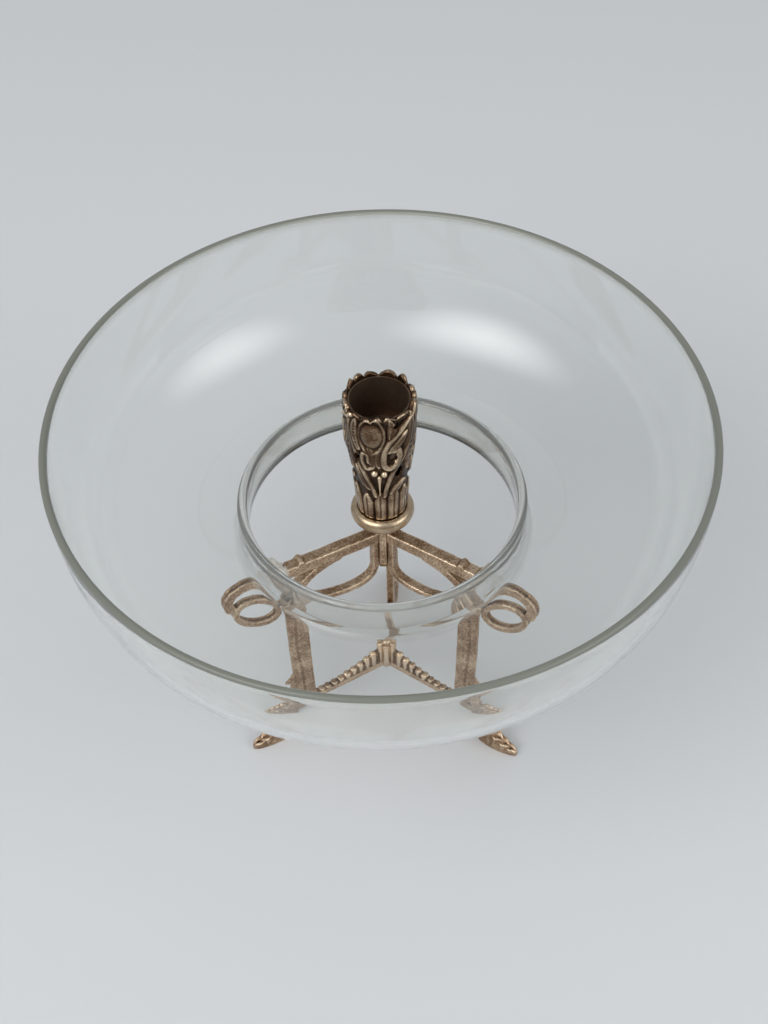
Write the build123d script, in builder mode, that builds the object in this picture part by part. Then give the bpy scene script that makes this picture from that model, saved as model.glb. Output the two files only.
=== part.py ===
"""Floating candle bowl: a ring-shaped glass bowl on a three-legged cast brass stand with a candle socket."""

import math
import os

from build123d import *

os.makedirs("parts", exist_ok=True)

# Driving dimensions, in millimetres. The floor is z = 0 and the candle axis is x = y = 0.

# Fits
CLEARANCE = 0.2
SEAT_GAP = 0.3
BRAZE_GAP = 0.05

# Glass bowl
RIM_RADIUS = 127.0
RIM_Z = 177.0
GLASS_WALL = 3.0
SHOULDER_INSET = 14.0
SHOULDER_DROP = 50.2
TROUGH_LOW_INSET = 41.0
TROUGH_LOW_DROP = 65.5
SEAT_RADIUS = 64.0
SEAT_DROP = 62.7
CHIMNEY_BORE_RADIUS = 53.5
CHIMNEY_WALL = 4.0
CHIMNEY_FOOT_DROP = 58.5
CHIMNEY_HEIGHT = 16.2
TROUGH_BLEND_RISE = 4.5

# Side frames: arm, strut, brace and volute in one radial plane
LEG_COUNT = 3
FIRST_LEG_AZIMUTH = 90.0
ARM_THICKNESS = 5.2
BRACE_THICKNESS = 4.0
VOLUTE_THICKNESS = 3.4
ARM_TOP_Z = 114.8
ARM_HEIGHT = 5.4
ARM_REACH = 45.5
FINGER_CLEARANCE = 3.5
FINGER_TIP_Z = 120.5
FINGER_WIDTH = 3.0
CROCKET_RADIUS = 1.5
CROCKET_REACH = 37.5
STRUT_START_REACH = 20.0
STRUT_WIDTH = 3.8
BRACE_WIDTH = 2.8
BRACE_LOW_Z = 86.0
BRACE_LOW_REACH = 15.5
LOOP_HOLE_LENGTH = 17.6
LOOP_HOLE_WIDTH = 10.4
LOOP_TILT = 35.0
VOLUTE_BAND = 3.0
HOOK_BAND = 4.6
HOOK_PEAK = 4.0

# Legs
LEG_INNER_REACH = 36.7
LEG_WIDTH = 9.2
LEG_THICKNESS = 3.4
LEG_HEAD_INSET = 2.4
LEG_HEAD_Z = 94.0
LEG_HEAD_RADIUS = 4.2
LEG_HEAD_THICKNESS = 6.0
LEG_FOOT_Z = 14.0
SPUR_Z = 36.0
SPUR_REACH = 5.0
TOE_REACH = 68.0
TOE_HEEL_REACH = 49.0
TOE_INSTEP = 8.0
TOE_WIDTH = 5.0
TOE_TIP_WIDTH = 3.2
TOE_HEIGHT = 10.5
TOE_TIP_HEIGHT = 3.0
FOOT_STRUT_WIDTH = 4.8
FORK_SLOT = 1.8
TONGUE_RADIUS = 3.2
RIVET_RADIUS = 1.4
RIVET_HEAD_RADIUS = 2.8
RIVET_HEAD_HEIGHT = 1.3

# Hub post, collar ring, candle socket
HUB_RADIUS = 4.4
HUB_BOTTOM_Z = 95.5
HUB_FLANGE_RADIUS = 9.0
HUB_FLANGE_HEIGHT = 3.4
COLLAR_SEAT_Z = 123.4
COLLAR_RADIUS = 12.7
COLLAR_HEIGHT = 6.2
COLLAR_ROUND = 2.5
TENON_DEPTH = 1.4
SOCKET_TOP_Z = 190.5
SOCKET_BASE_RADIUS = 9.6
SOCKET_WAIST_RADIUS = 10.9
SOCKET_SHOULDER_RADIUS = 12.9
SOCKET_MOUTH_RADIUS = 14.0
SOCKET_WAIST_SHARE = 0.55
SOCKET_WALL = 1.3
SOCKET_FLOOR = 3.0
SCALLOP_COUNT = 14
SCALLOP_DEPTH = 1.9
FLUTE_COUNT = 10
FLUTE_RADIUS = 2.6
FLUTE_SHARE = 0.26
ORNAMENT_COUNT = 4
STEM_RADIUS = 1.0
STEM_SPREAD = 36.0
BUD_RADIUS = 3.0
BUD_SHARE = 0.7
EYE_RADIUS = 2.3
EYE_SPREAD = 20.0
EYE_SHARE = 0.52
PIERCING_RADIUS = 1.5
CANDLE_BORE_RADIUS = 11.2
CANDLE_BORE_DEPTH = 20.0
LINER_WALL = 0.6
LINER_FLOOR = 1.2
LINER_BELOW_RIM = 3.0

# Tie stud that clamps socket, collar ring and hub post together
STUD_RADIUS = 1.3
NUT_ACROSS_FLATS = 4.8
NUT_HEIGHT = 2.4
WASHER_RADIUS = 2.7
WASHER_HEIGHT = 0.8
STUD_OVERHANG = 1.2

# Stretcher
STRETCHER_PEAK_Z = 36.0
STRETCHER_END_TOP_Z = 19.2
STRETCHER_ARCH_Z = 20.5
STRETCHER_END_LOW_Z = 14.2
STRETCHER_SWEEP = 1.5
STRETCHER_WIDTH = 2.4
BEAD_RADIUS = 1.7
BEAD_PITCH = 3.3
BEAD_COUNT = 9
BEAD_START_REACH = 7.0
BEAD_FOOT = 1.6
CROWN_RIB_COUNT = 9
CROWN_RIB_RADIUS = 1.6
CROWN_RADIUS = 3.2
CROWN_KNOB_RADIUS = 2.4
DOWEL_RADIUS = 0.6
DOWEL_LENGTH = 8.0


def leg_azimuths():
    """Azimuth of each leg about the candle axis, in degrees."""
    return [FIRST_LEG_AZIMUTH + 360 / LEG_COUNT * k for k in range(LEG_COUNT)]


def radial_plane(azimuth):
    """The upright plane through the candle axis: x runs outwards along the azimuth and y runs up."""
    a = math.radians(azimuth)
    return Plane(origin=(0, 0, 0), x_dir=(math.cos(a), math.sin(a), 0), z_dir=(math.sin(a), -math.cos(a), 0))


def underside_points(drop):
    """Section points of the underside of the glass, lowered by drop."""
    return [
        (CHIMNEY_BORE_RADIUS, CHIMNEY_FOOT_Z - drop),
        (SEAT_RADIUS, SEAT_Z - drop),
        (RIM_RADIUS - TROUGH_LOW_INSET, RIM_Z - TROUGH_LOW_DROP - drop),
        (RIM_RADIUS - SHOULDER_INSET, RIM_Z - SHOULDER_DROP - drop),
        (RIM_RADIUS, RIM_Z - GLASS_WALL / 2 - drop),
    ]


def sleeve_radius(z):
    """Outer radius of the candle socket at a height."""
    if z < SOCKET_WAIST_Z:
        share = (z - COLLAR_TOP_Z) / (SOCKET_WAIST_Z - COLLAR_TOP_Z)
        return SOCKET_BASE_RADIUS + share * (SOCKET_WAIST_RADIUS - SOCKET_BASE_RADIUS)
    if z < LINER_SEAT_Z:
        share = (z - SOCKET_WAIST_Z) / (LINER_SEAT_Z - SOCKET_WAIST_Z)
        return SOCKET_WAIST_RADIUS + share * (SOCKET_SHOULDER_RADIUS - SOCKET_WAIST_RADIUS)
    share = (z - LINER_SEAT_Z) / (SOCKET_TOP_Z - LINER_SEAT_Z)
    return SOCKET_SHOULDER_RADIUS + share * (SOCKET_MOUTH_RADIUS - SOCKET_SHOULDER_RADIUS)


def sleeve_plane(azimuth, share):
    """Plane on the outside of the candle socket, facing outwards, at a share of its height."""
    z = COLLAR_TOP_Z + share * SOCKET_RISE
    a = math.radians(azimuth)
    outwards = Vector(math.cos(a), math.sin(a), 0)
    along = (-math.sin(a), math.cos(a), 0)
    return Plane(origin=outwards * sleeve_radius(z) + Vector(0, 0, z), x_dir=along, z_dir=outwards)


def dowel_plane(azimuth):
    """Plane across the joint of a stretcher arm and its leg, facing outwards."""
    side = radial_plane(azimuth)
    return Plane(origin=side.from_local_coords((LEG_INNER_REACH, STRETCHER_END_Z, 0)), z_dir=side.x_dir)


def stretcher_top(reach):
    """Height of the upper edge of a stretcher arm: it sweeps up to the middle."""
    rise = STRETCHER_PEAK_Z - STRETCHER_END_TOP_Z
    return STRETCHER_END_TOP_Z + rise * (1 - reach / LEG_INNER_REACH) ** STRETCHER_SWEEP


def stretcher_low(reach):
    """Height of the lower edge of a stretcher arm: it arches under the middle."""
    fall = STRETCHER_ARCH_Z - STRETCHER_END_LOW_Z
    return STRETCHER_ARCH_Z - fall * (reach / LEG_INNER_REACH) ** STRETCHER_SWEEP


def rounded_rib(radius, height):
    """An upright round rib from the origin down to its foot, domed on top."""
    with BuildPart() as rib:
        with BuildSketch(Plane.XZ):
            with BuildLine():
                side = Polyline((0, 0), (0, -height), (radius, -height), (radius, 0))
                dome = ThreePointArc(
                    side @ 1,
                    (radius * math.sqrt(0.5), radius * math.sqrt(0.5)),
                    (0, radius),
                )
                Line(dome @ 1, side @ 0)
            make_face()
        revolve(axis=Axis.Z)
    return rib.part


def finish(part, name):
    """Labels a finished piece and writes it."""
    part.label = name
    export_step(part, f"parts/{name}.step")


# Sizes worked out from the driving dimensions
LEG_OUTER_REACH = LEG_INNER_REACH + LEG_WIDTH
LEG_MIDDLE_REACH = LEG_INNER_REACH + LEG_WIDTH / 2
LEG_HEAD_REACH = LEG_OUTER_REACH - LEG_HEAD_INSET
LOOP_LENGTH = LOOP_HOLE_LENGTH + 2 * VOLUTE_BAND
LOOP_WIDTH = LOOP_HOLE_WIDTH + 2 * VOLUTE_BAND
LOOP_LEAN = math.radians(LOOP_TILT)
LOOP_HALF_REACH = math.hypot(LOOP_LENGTH / 2 * math.cos(LOOP_LEAN), LOOP_WIDTH / 2 * math.sin(LOOP_LEAN))
LOOP_CENTRE = (LEG_HEAD_REACH + LEG_HEAD_RADIUS - VOLUTE_BAND / 4 + LOOP_HALF_REACH, LEG_HEAD_Z)
LOOP_END = (
    LOOP_CENTRE[0] + LOOP_LENGTH / 2 * math.cos(LOOP_LEAN),
    LOOP_CENTRE[1] + LOOP_LENGTH / 2 * math.sin(LOOP_LEAN),
)
SEAT_Z = RIM_Z - SEAT_DROP
CHIMNEY_FOOT_Z = RIM_Z - CHIMNEY_FOOT_DROP
UNDERSIDE_ENDS = ((0.93, -0.37), (0.03, 1))
FRAME_ROOT_REACH = HUB_RADIUS - TENON_DEPTH
SOCKET_BOTTOM_Z = COLLAR_SEAT_Z
LINER_RADIUS = CANDLE_BORE_RADIUS + LINER_WALL
LINER_TOP_Z = SOCKET_TOP_Z - LINER_BELOW_RIM
LINER_SEAT_Z = LINER_TOP_Z - CANDLE_BORE_DEPTH - LINER_FLOOR
SLEEVE_BORE_RADIUS = LINER_RADIUS + CLEARANCE
LEG_HEAD = (LEG_HEAD_REACH, LEG_HEAD_Z)
FINGER_TIP_RADIUS = CHIMNEY_BORE_RADIUS - FINGER_CLEARANCE
ARM_MIDDLE_Z = ARM_TOP_Z - ARM_HEIGHT / 2
TONGUE_THICKNESS = FORK_SLOT - 2 * CLEARANCE
STRETCHER_REACH = LEG_INNER_REACH - BRAZE_GAP
STRETCHER_END_Z = (STRETCHER_END_TOP_Z + STRETCHER_END_LOW_Z) / 2
COLLAR_TOP_Z = COLLAR_SEAT_Z + COLLAR_HEIGHT
SOCKET_FLOOR_Z = SOCKET_BOTTOM_Z + SOCKET_FLOOR
SOCKET_RISE = SOCKET_TOP_Z - COLLAR_TOP_Z
SOCKET_WAIST_Z = COLLAR_TOP_Z + SOCKET_WAIST_SHARE * (LINER_SEAT_Z - COLLAR_TOP_Z)


# Glass bowl: a round-bottomed ring trough, open in the middle, with an upstanding inner wall
with BuildPart() as glass_bowl:
    with BuildSketch(Plane.XZ) as trough:
        with BuildLine():
            outside = Spline(*underside_points(0), tangents=UNDERSIDE_ENDS, tangent_scalars=(1, 1))
            rim_round = ThreePointArc(
                outside @ 1,
                (RIM_RADIUS - GLASS_WALL / 2, RIM_Z),
                (RIM_RADIUS - GLASS_WALL, RIM_Z - GLASS_WALL / 2),
            )
            inset = GLASS_WALL * math.sqrt(0.5)
            chimney_outer = CHIMNEY_BORE_RADIUS + CHIMNEY_WALL
            chimney_top = CHIMNEY_FOOT_Z + CHIMNEY_HEIGHT
            inside = Spline(
                rim_round @ 1,
                (RIM_RADIUS - SHOULDER_INSET - inset, RIM_Z - SHOULDER_DROP + inset),
                (RIM_RADIUS - TROUGH_LOW_INSET, RIM_Z - TROUGH_LOW_DROP + GLASS_WALL),
                (SEAT_RADIUS, SEAT_Z + GLASS_WALL),
                (chimney_outer, CHIMNEY_FOOT_Z + TROUGH_BLEND_RISE),
                tangents=((-0.03, -1), (0, 1)),
                tangent_scalars=(1, 1),
            )
            wall_up = Line(inside @ 1, (chimney_outer, chimney_top - CHIMNEY_WALL / 2))
            bead = ThreePointArc(
                wall_up @ 1,
                (CHIMNEY_BORE_RADIUS + CHIMNEY_WALL / 2, chimney_top),
                (CHIMNEY_BORE_RADIUS, chimney_top - CHIMNEY_WALL / 2),
            )
            Line(bead @ 1, outside @ 0)
        make_face()
    revolve(axis=Axis.Z)
finish(glass_bowl.part, "glass_bowl")


# Arm: a level bar from the post, a raised finger at its tip and a strut that curves down to the leg head
with BuildSketch() as arm_outline:
    with Locations(((FRAME_ROOT_REACH + ARM_REACH) / 2, ARM_MIDDLE_Z)):
        Rectangle(ARM_REACH - FRAME_ROOT_REACH, ARM_HEIGHT)
    with BuildLine():
        finger_line = Spline(
            (ARM_REACH - ARM_HEIGHT, ARM_MIDDLE_Z),
            (FINGER_TIP_RADIUS - FINGER_WIDTH / 2, FINGER_TIP_Z - FINGER_WIDTH / 2),
            tangents=((1, 0), (0.35, 1)),
        )
    trace(line_width=FINGER_WIDTH)
    with Locations(finger_line @ 1):
        Circle(FINGER_WIDTH / 2)
    with Locations((CROCKET_REACH, ARM_TOP_Z)):
        Circle(CROCKET_RADIUS)
    with BuildLine():
        Spline(
            (STRUT_START_REACH, ARM_TOP_Z - ARM_HEIGHT + STRUT_WIDTH / 4),
            (LEG_HEAD_REACH - LEG_HEAD_RADIUS / 2, LEG_HEAD_Z + LEG_HEAD_RADIUS / 2),
            tangents=((1, -0.12), (0.45, -1)),
        )
    trace(line_width=STRUT_WIDTH)
    with Locations(LEG_HEAD):
        Circle(LEG_HEAD_RADIUS + BRAZE_GAP, mode=Mode.SUBTRACT)

# Brace: curves from the foot of the post down and out, then up to the leg head
with BuildSketch() as brace_outline:
    with BuildLine():
        brace_root = Line(
            (FRAME_ROOT_REACH + BRACE_WIDTH / 2, ARM_TOP_Z - ARM_HEIGHT - BRAZE_GAP),
            (FRAME_ROOT_REACH + BRACE_WIDTH / 2, HUB_BOTTOM_Z),
        )
        Spline(
            brace_root @ 1,
            (BRACE_LOW_REACH, BRACE_LOW_Z),
            (LEG_INNER_REACH + BRACE_WIDTH / 2, LEG_HEAD_Z - BRACE_WIDTH),
            tangents=((0, -1), (1, 0.35)),
        )
    trace(line_width=BRACE_WIDTH)
    with Locations((LEG_MIDDLE_REACH, (LEG_FOOT_Z + LEG_HEAD_Z) / 2)):
        Rectangle(LEG_WIDTH + 2 * BRAZE_GAP, LEG_HEAD_Z - LEG_FOOT_Z + 2 * BRAZE_GAP, mode=Mode.SUBTRACT)
    with Locations(LEG_HEAD):
        Circle(LEG_HEAD_RADIUS + BRAZE_GAP, mode=Mode.SUBTRACT)

# Volute: a leaning oval loop beside the leg head and a hook band over it, cut on top to the glass
with BuildSketch() as volute_outline:
    with Locations(Location((*LOOP_CENTRE, 0), (0, 0, LOOP_TILT))):
        Ellipse(LOOP_LENGTH / 2, LOOP_WIDTH / 2)
    with BuildLine():
        hook_line = Spline(
            (LEG_HEAD_REACH + LEG_HEAD_RADIUS * 0.7, LEG_HEAD_Z + LEG_HEAD_RADIUS),
            (LOOP_CENTRE[0] - HOOK_PEAK, SEAT_Z - HOOK_BAND),
            (LOOP_CENTRE[0] + HOOK_PEAK, SEAT_Z - HOOK_BAND / 2 + SEAT_GAP),
            (LOOP_END[0] + VOLUTE_BAND / 2, LOOP_END[1] + VOLUTE_BAND / 2),
            tangents=((0.5, 1), (-0.4, -1)),
        )
    trace(line_width=HOOK_BAND)
    with Locations(hook_line @ 1):
        Circle(HOOK_BAND / 2)
    with Locations(Location((*LOOP_CENTRE, 0), (0, 0, LOOP_TILT))):
        Ellipse(LOOP_HOLE_LENGTH / 2, LOOP_HOLE_WIDTH / 2, mode=Mode.SUBTRACT)
    with Locations(LEG_HEAD):
        Circle(LEG_HEAD_RADIUS + BRAZE_GAP, mode=Mode.SUBTRACT)
    with BuildLine():
        seat_line = Spline(*underside_points(SEAT_GAP), tangents=UNDERSIDE_ENDS, tangent_scalars=(1, 1))
        Polyline(seat_line @ 1, (CHIMNEY_BORE_RADIUS, RIM_Z), seat_line @ 0)
    make_face(mode=Mode.SUBTRACT)

# Tongue of the volute: a thin round eye that enters the fork of the leg head
with BuildSketch() as tongue_outline:
    with Locations(LEG_HEAD):
        Circle(TONGUE_RADIUS)
    with Locations((LEG_HEAD_REACH + (LEG_HEAD_RADIUS + VOLUTE_BAND / 2) / 2, LEG_HEAD_Z)):
        Rectangle(LEG_HEAD_RADIUS + VOLUTE_BAND / 2, 2 * VOLUTE_BAND)
    with Locations(LEG_HEAD):
        Circle(RIVET_RADIUS + BRAZE_GAP, mode=Mode.SUBTRACT)

# Leg: a straight shaft with a round head, a small spur and two struts that meet in the foot
with BuildSketch() as leg_outline:
    with Locations((LEG_MIDDLE_REACH, (LEG_FOOT_Z + LEG_HEAD_Z) / 2)):
        Rectangle(LEG_WIDTH, LEG_HEAD_Z - LEG_FOOT_Z)
    with BuildLine():
        Polyline(
            (LEG_OUTER_REACH - 1, SPUR_Z + SPUR_REACH),
            (LEG_OUTER_REACH + SPUR_REACH, SPUR_Z - SPUR_REACH / 2),
            (LEG_OUTER_REACH - 1, SPUR_Z - SPUR_REACH),
            close=True,
        )
    make_face()
    with BuildLine():
        Spline(
            (LEG_OUTER_REACH - FOOT_STRUT_WIDTH / 2, SPUR_Z),
            (LEG_OUTER_REACH + TOE_INSTEP, TOE_HEIGHT / 2),
            tangents=((0.5, -1), (0.9, -1)),
        )
    trace(line_width=FOOT_STRUT_WIDTH)
    with BuildLine():
        Spline(
            (LEG_MIDDLE_REACH, LEG_FOOT_Z + FOOT_STRUT_WIDTH / 2),
            (TOE_HEEL_REACH + FOOT_STRUT_WIDTH, TOE_HEIGHT / 3),
            tangents=((0.15, -1), (1, -0.3)),
        )
    trace(line_width=FOOT_STRUT_WIDTH)

# Toe: the leaf-shaped foot in side view and in plan
with BuildSketch() as toe_side:
    with BuildLine():
        toe_sole = Line((TOE_HEEL_REACH, 0), (TOE_REACH, 0))
        toe_tip = Line(toe_sole @ 1, (TOE_REACH, TOE_TIP_HEIGHT))
        toe_back = Spline(
            toe_tip @ 1,
            (TOE_HEEL_REACH + TOE_INSTEP / 2, TOE_HEIGHT),
            (TOE_HEEL_REACH, TOE_HEIGHT / 2),
            tangents=((-1, 0.3), (-0.6, -1)),
        )
        Line(toe_back @ 1, toe_sole @ 0)
    make_face()
with BuildSketch() as toe_plan:
    with BuildLine():
        leaf_edge = Spline(
            (TOE_HEEL_REACH, LEG_THICKNESS / 2),
            (TOE_HEEL_REACH + TOE_INSTEP / 2, TOE_WIDTH / 2),
            (TOE_REACH - TOE_TIP_WIDTH / 2, TOE_TIP_WIDTH / 2),
        )
        ThreePointArc(leaf_edge @ 1, (TOE_REACH, 0), (TOE_REACH - TOE_TIP_WIDTH / 2, -TOE_TIP_WIDTH / 2))
        mirror(leaf_edge, about=Plane.XZ)
        Line((TOE_HEEL_REACH, LEG_THICKNESS / 2), (TOE_HEEL_REACH, -LEG_THICKNESS / 2))
    make_face()

for number, azimuth in enumerate(leg_azimuths(), start=1):
    side_plane = radial_plane(azimuth)
    plan_plane = Plane(origin=(0, 0, 0), x_dir=side_plane.x_dir, z_dir=(0, 0, 1))
    head_plane = Plane(
        origin=side_plane.from_local_coords((*LEG_HEAD, 0)),
        x_dir=side_plane.x_dir,
        z_dir=side_plane.z_dir,
    )

    with BuildPart() as arm:
        with BuildSketch(side_plane):
            add(arm_outline.sketch)
        extrude(amount=ARM_THICKNESS / 2, both=True)
    finish(arm.part, f"arm_{number}")

    with BuildPart() as brace:
        with BuildSketch(side_plane):
            add(brace_outline.sketch)
        extrude(amount=BRACE_THICKNESS / 2, both=True)
    finish(brace.part, f"brace_{number}")

    with BuildPart() as volute:
        with BuildSketch(side_plane):
            add(volute_outline.sketch)
        extrude(amount=VOLUTE_THICKNESS / 2, both=True)
        with BuildSketch(side_plane):
            add(tongue_outline.sketch)
        extrude(amount=TONGUE_THICKNESS / 2, both=True)
    finish(volute.part, f"volute_{number}")

    with BuildPart() as toe:
        with BuildSketch(side_plane):
            add(toe_side.sketch)
        extrude(amount=TOE_WIDTH, both=True)
        with BuildSketch(plan_plane):
            add(toe_plan.sketch)
        extrude(amount=2 * TOE_HEIGHT, mode=Mode.INTERSECT)

    with BuildPart() as leg:
        with BuildSketch(side_plane):
            add(leg_outline.sketch)
        extrude(amount=LEG_THICKNESS / 2, both=True)
        with BuildSketch(side_plane):
            with Locations(LEG_HEAD):
                Circle(LEG_HEAD_RADIUS)
        extrude(amount=LEG_HEAD_THICKNESS / 2, both=True)
        add(toe.part)
        with Locations(head_plane):
            with Locations((LEG_HEAD_RADIUS - TONGUE_RADIUS - CLEARANCE, 0, 0)):
                Box(2 * LEG_HEAD_RADIUS, 2 * (TONGUE_RADIUS + CLEARANCE), FORK_SLOT, mode=Mode.SUBTRACT)
            Cylinder(RIVET_RADIUS + BRAZE_GAP, 2 * LEG_HEAD_THICKNESS, mode=Mode.SUBTRACT)
        with Locations(dowel_plane(azimuth)):
            Cylinder(DOWEL_RADIUS + BRAZE_GAP, DOWEL_LENGTH + 2 * BRAZE_GAP, mode=Mode.SUBTRACT)
    finish(leg.part, f"leg_{number}")

# Rivets: one through each leg head, domed on both sides
with BuildPart() as leg_rivets:
    for azimuth in leg_azimuths():
        side_plane = radial_plane(azimuth)
        with BuildSketch(side_plane):
            with Locations(LEG_HEAD):
                Circle(RIVET_RADIUS)
        extrude(amount=LEG_HEAD_THICKNESS / 2 + RIVET_HEAD_HEIGHT / 2, both=True)
        for side in (1, -1):
            face_plane = Plane(
                origin=side_plane.from_local_coords((*LEG_HEAD, side * (LEG_HEAD_THICKNESS / 2 + BRAZE_GAP))),
                z_dir=side_plane.z_dir * side,
            )
            with BuildSketch(face_plane):
                Circle(RIVET_HEAD_RADIUS)
            extrude(amount=RIVET_HEAD_HEIGHT, taper=30)
finish(leg_rivets.part, "leg_rivets")

# Lower stretcher: three arms that sweep up to a ribbed crown, with a row of upright beads along each arm
with BuildPart() as lower_stretcher:
    edge_reaches = [STRETCHER_REACH * share for share in (0, 0.25, 0.5, 0.75, 1)]
    for azimuth in leg_azimuths():
        with BuildSketch(radial_plane(azimuth)):
            with BuildLine():
                upper_edge = Spline(*[(reach, stretcher_top(reach)) for reach in edge_reaches])
                lower_edge = Spline(*[(reach, stretcher_low(reach)) for reach in edge_reaches])
                Line(upper_edge @ 0, lower_edge @ 0)
                Line(upper_edge @ 1, lower_edge @ 1)
            make_face()
        extrude(amount=STRETCHER_WIDTH / 2, both=True)
        for k in range(BEAD_COUNT):
            reach = BEAD_START_REACH + BEAD_PITCH * k
            dome_z = stretcher_top(reach) - BEAD_RADIUS / 2
            with Locations(radial_plane(azimuth).from_local_coords((reach, dome_z, 0))):
                add(rounded_rib(BEAD_RADIUS, dome_z - stretcher_low(reach) - BEAD_FOOT))
    crown_height = STRETCHER_PEAK_Z - STRETCHER_ARCH_Z
    with Locations((0, 0, STRETCHER_PEAK_Z)):
        add(rounded_rib(CROWN_KNOB_RADIUS, crown_height))
        with PolarLocations(CROWN_RADIUS, CROWN_RIB_COUNT):
            add(rounded_rib(CROWN_RIB_RADIUS, crown_height - CROWN_RIB_RADIUS / 2))
    for azimuth in leg_azimuths():
        with Locations(dowel_plane(azimuth)):
            Cylinder(DOWEL_RADIUS + BRAZE_GAP, DOWEL_LENGTH + 2 * BRAZE_GAP, mode=Mode.SUBTRACT)
finish(lower_stretcher.part, "lower_stretcher")

with BuildPart() as stretcher_dowels:
    for azimuth in leg_azimuths():
        with Locations(dowel_plane(azimuth)):
            Cylinder(DOWEL_RADIUS, DOWEL_LENGTH)
finish(stretcher_dowels.part, "stretcher_dowels")

# Hub post: slotted for the tenons of the arms and braces, with a flange under the collar ring
with BuildPart() as hub_post:
    with BuildSketch(Plane.XY.offset(HUB_BOTTOM_Z)):
        Circle(HUB_RADIUS)
    extrude(amount=COLLAR_SEAT_Z - HUB_BOTTOM_Z)
    with BuildSketch(Plane.XY.offset(COLLAR_SEAT_Z - HUB_FLANGE_HEIGHT)):
        Circle(HUB_FLANGE_RADIUS)
    extrude(amount=HUB_FLANGE_HEIGHT)
    with BuildSketch(Plane.XY.offset(HUB_BOTTOM_Z)):
        for azimuth in leg_azimuths():
            with Locations(Location((0, 0, 0), (0, 0, azimuth))):
                with Locations((FRAME_ROOT_REACH - BRAZE_GAP + HUB_RADIUS / 2, 0)):
                    Rectangle(HUB_RADIUS, ARM_THICKNESS + 2 * BRAZE_GAP)
    extrude(amount=ARM_TOP_Z + BRAZE_GAP - HUB_BOTTOM_Z, mode=Mode.SUBTRACT)
    with Locations((0, 0, (HUB_BOTTOM_Z + COLLAR_SEAT_Z) / 2)):
        Cylinder(STUD_RADIUS + CLEARANCE, 2 * (COLLAR_SEAT_Z - HUB_BOTTOM_Z), mode=Mode.SUBTRACT)
finish(hub_post.part, "hub_post")

# Collar ring: a plain rounded ring round the foot of the socket
with BuildPart() as collar_ring:
    with BuildSketch(Plane.XZ):
        with BuildLine():
            collar_bore = SOCKET_BASE_RADIUS + CLEARANCE
            collar_lip = COLLAR_RADIUS - COLLAR_ROUND
            Polyline(
                (collar_lip, COLLAR_TOP_Z),
                (collar_bore, COLLAR_TOP_Z),
                (collar_bore, COLLAR_SEAT_Z),
                (collar_lip, COLLAR_SEAT_Z),
            )
            ThreePointArc(
                (collar_lip, COLLAR_SEAT_Z),
                (COLLAR_RADIUS, (COLLAR_SEAT_Z + COLLAR_TOP_Z) / 2),
                (collar_lip, COLLAR_TOP_Z),
            )
        make_face()
    revolve(axis=Axis.Z)
finish(collar_ring.part, "collar_ring")

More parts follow.
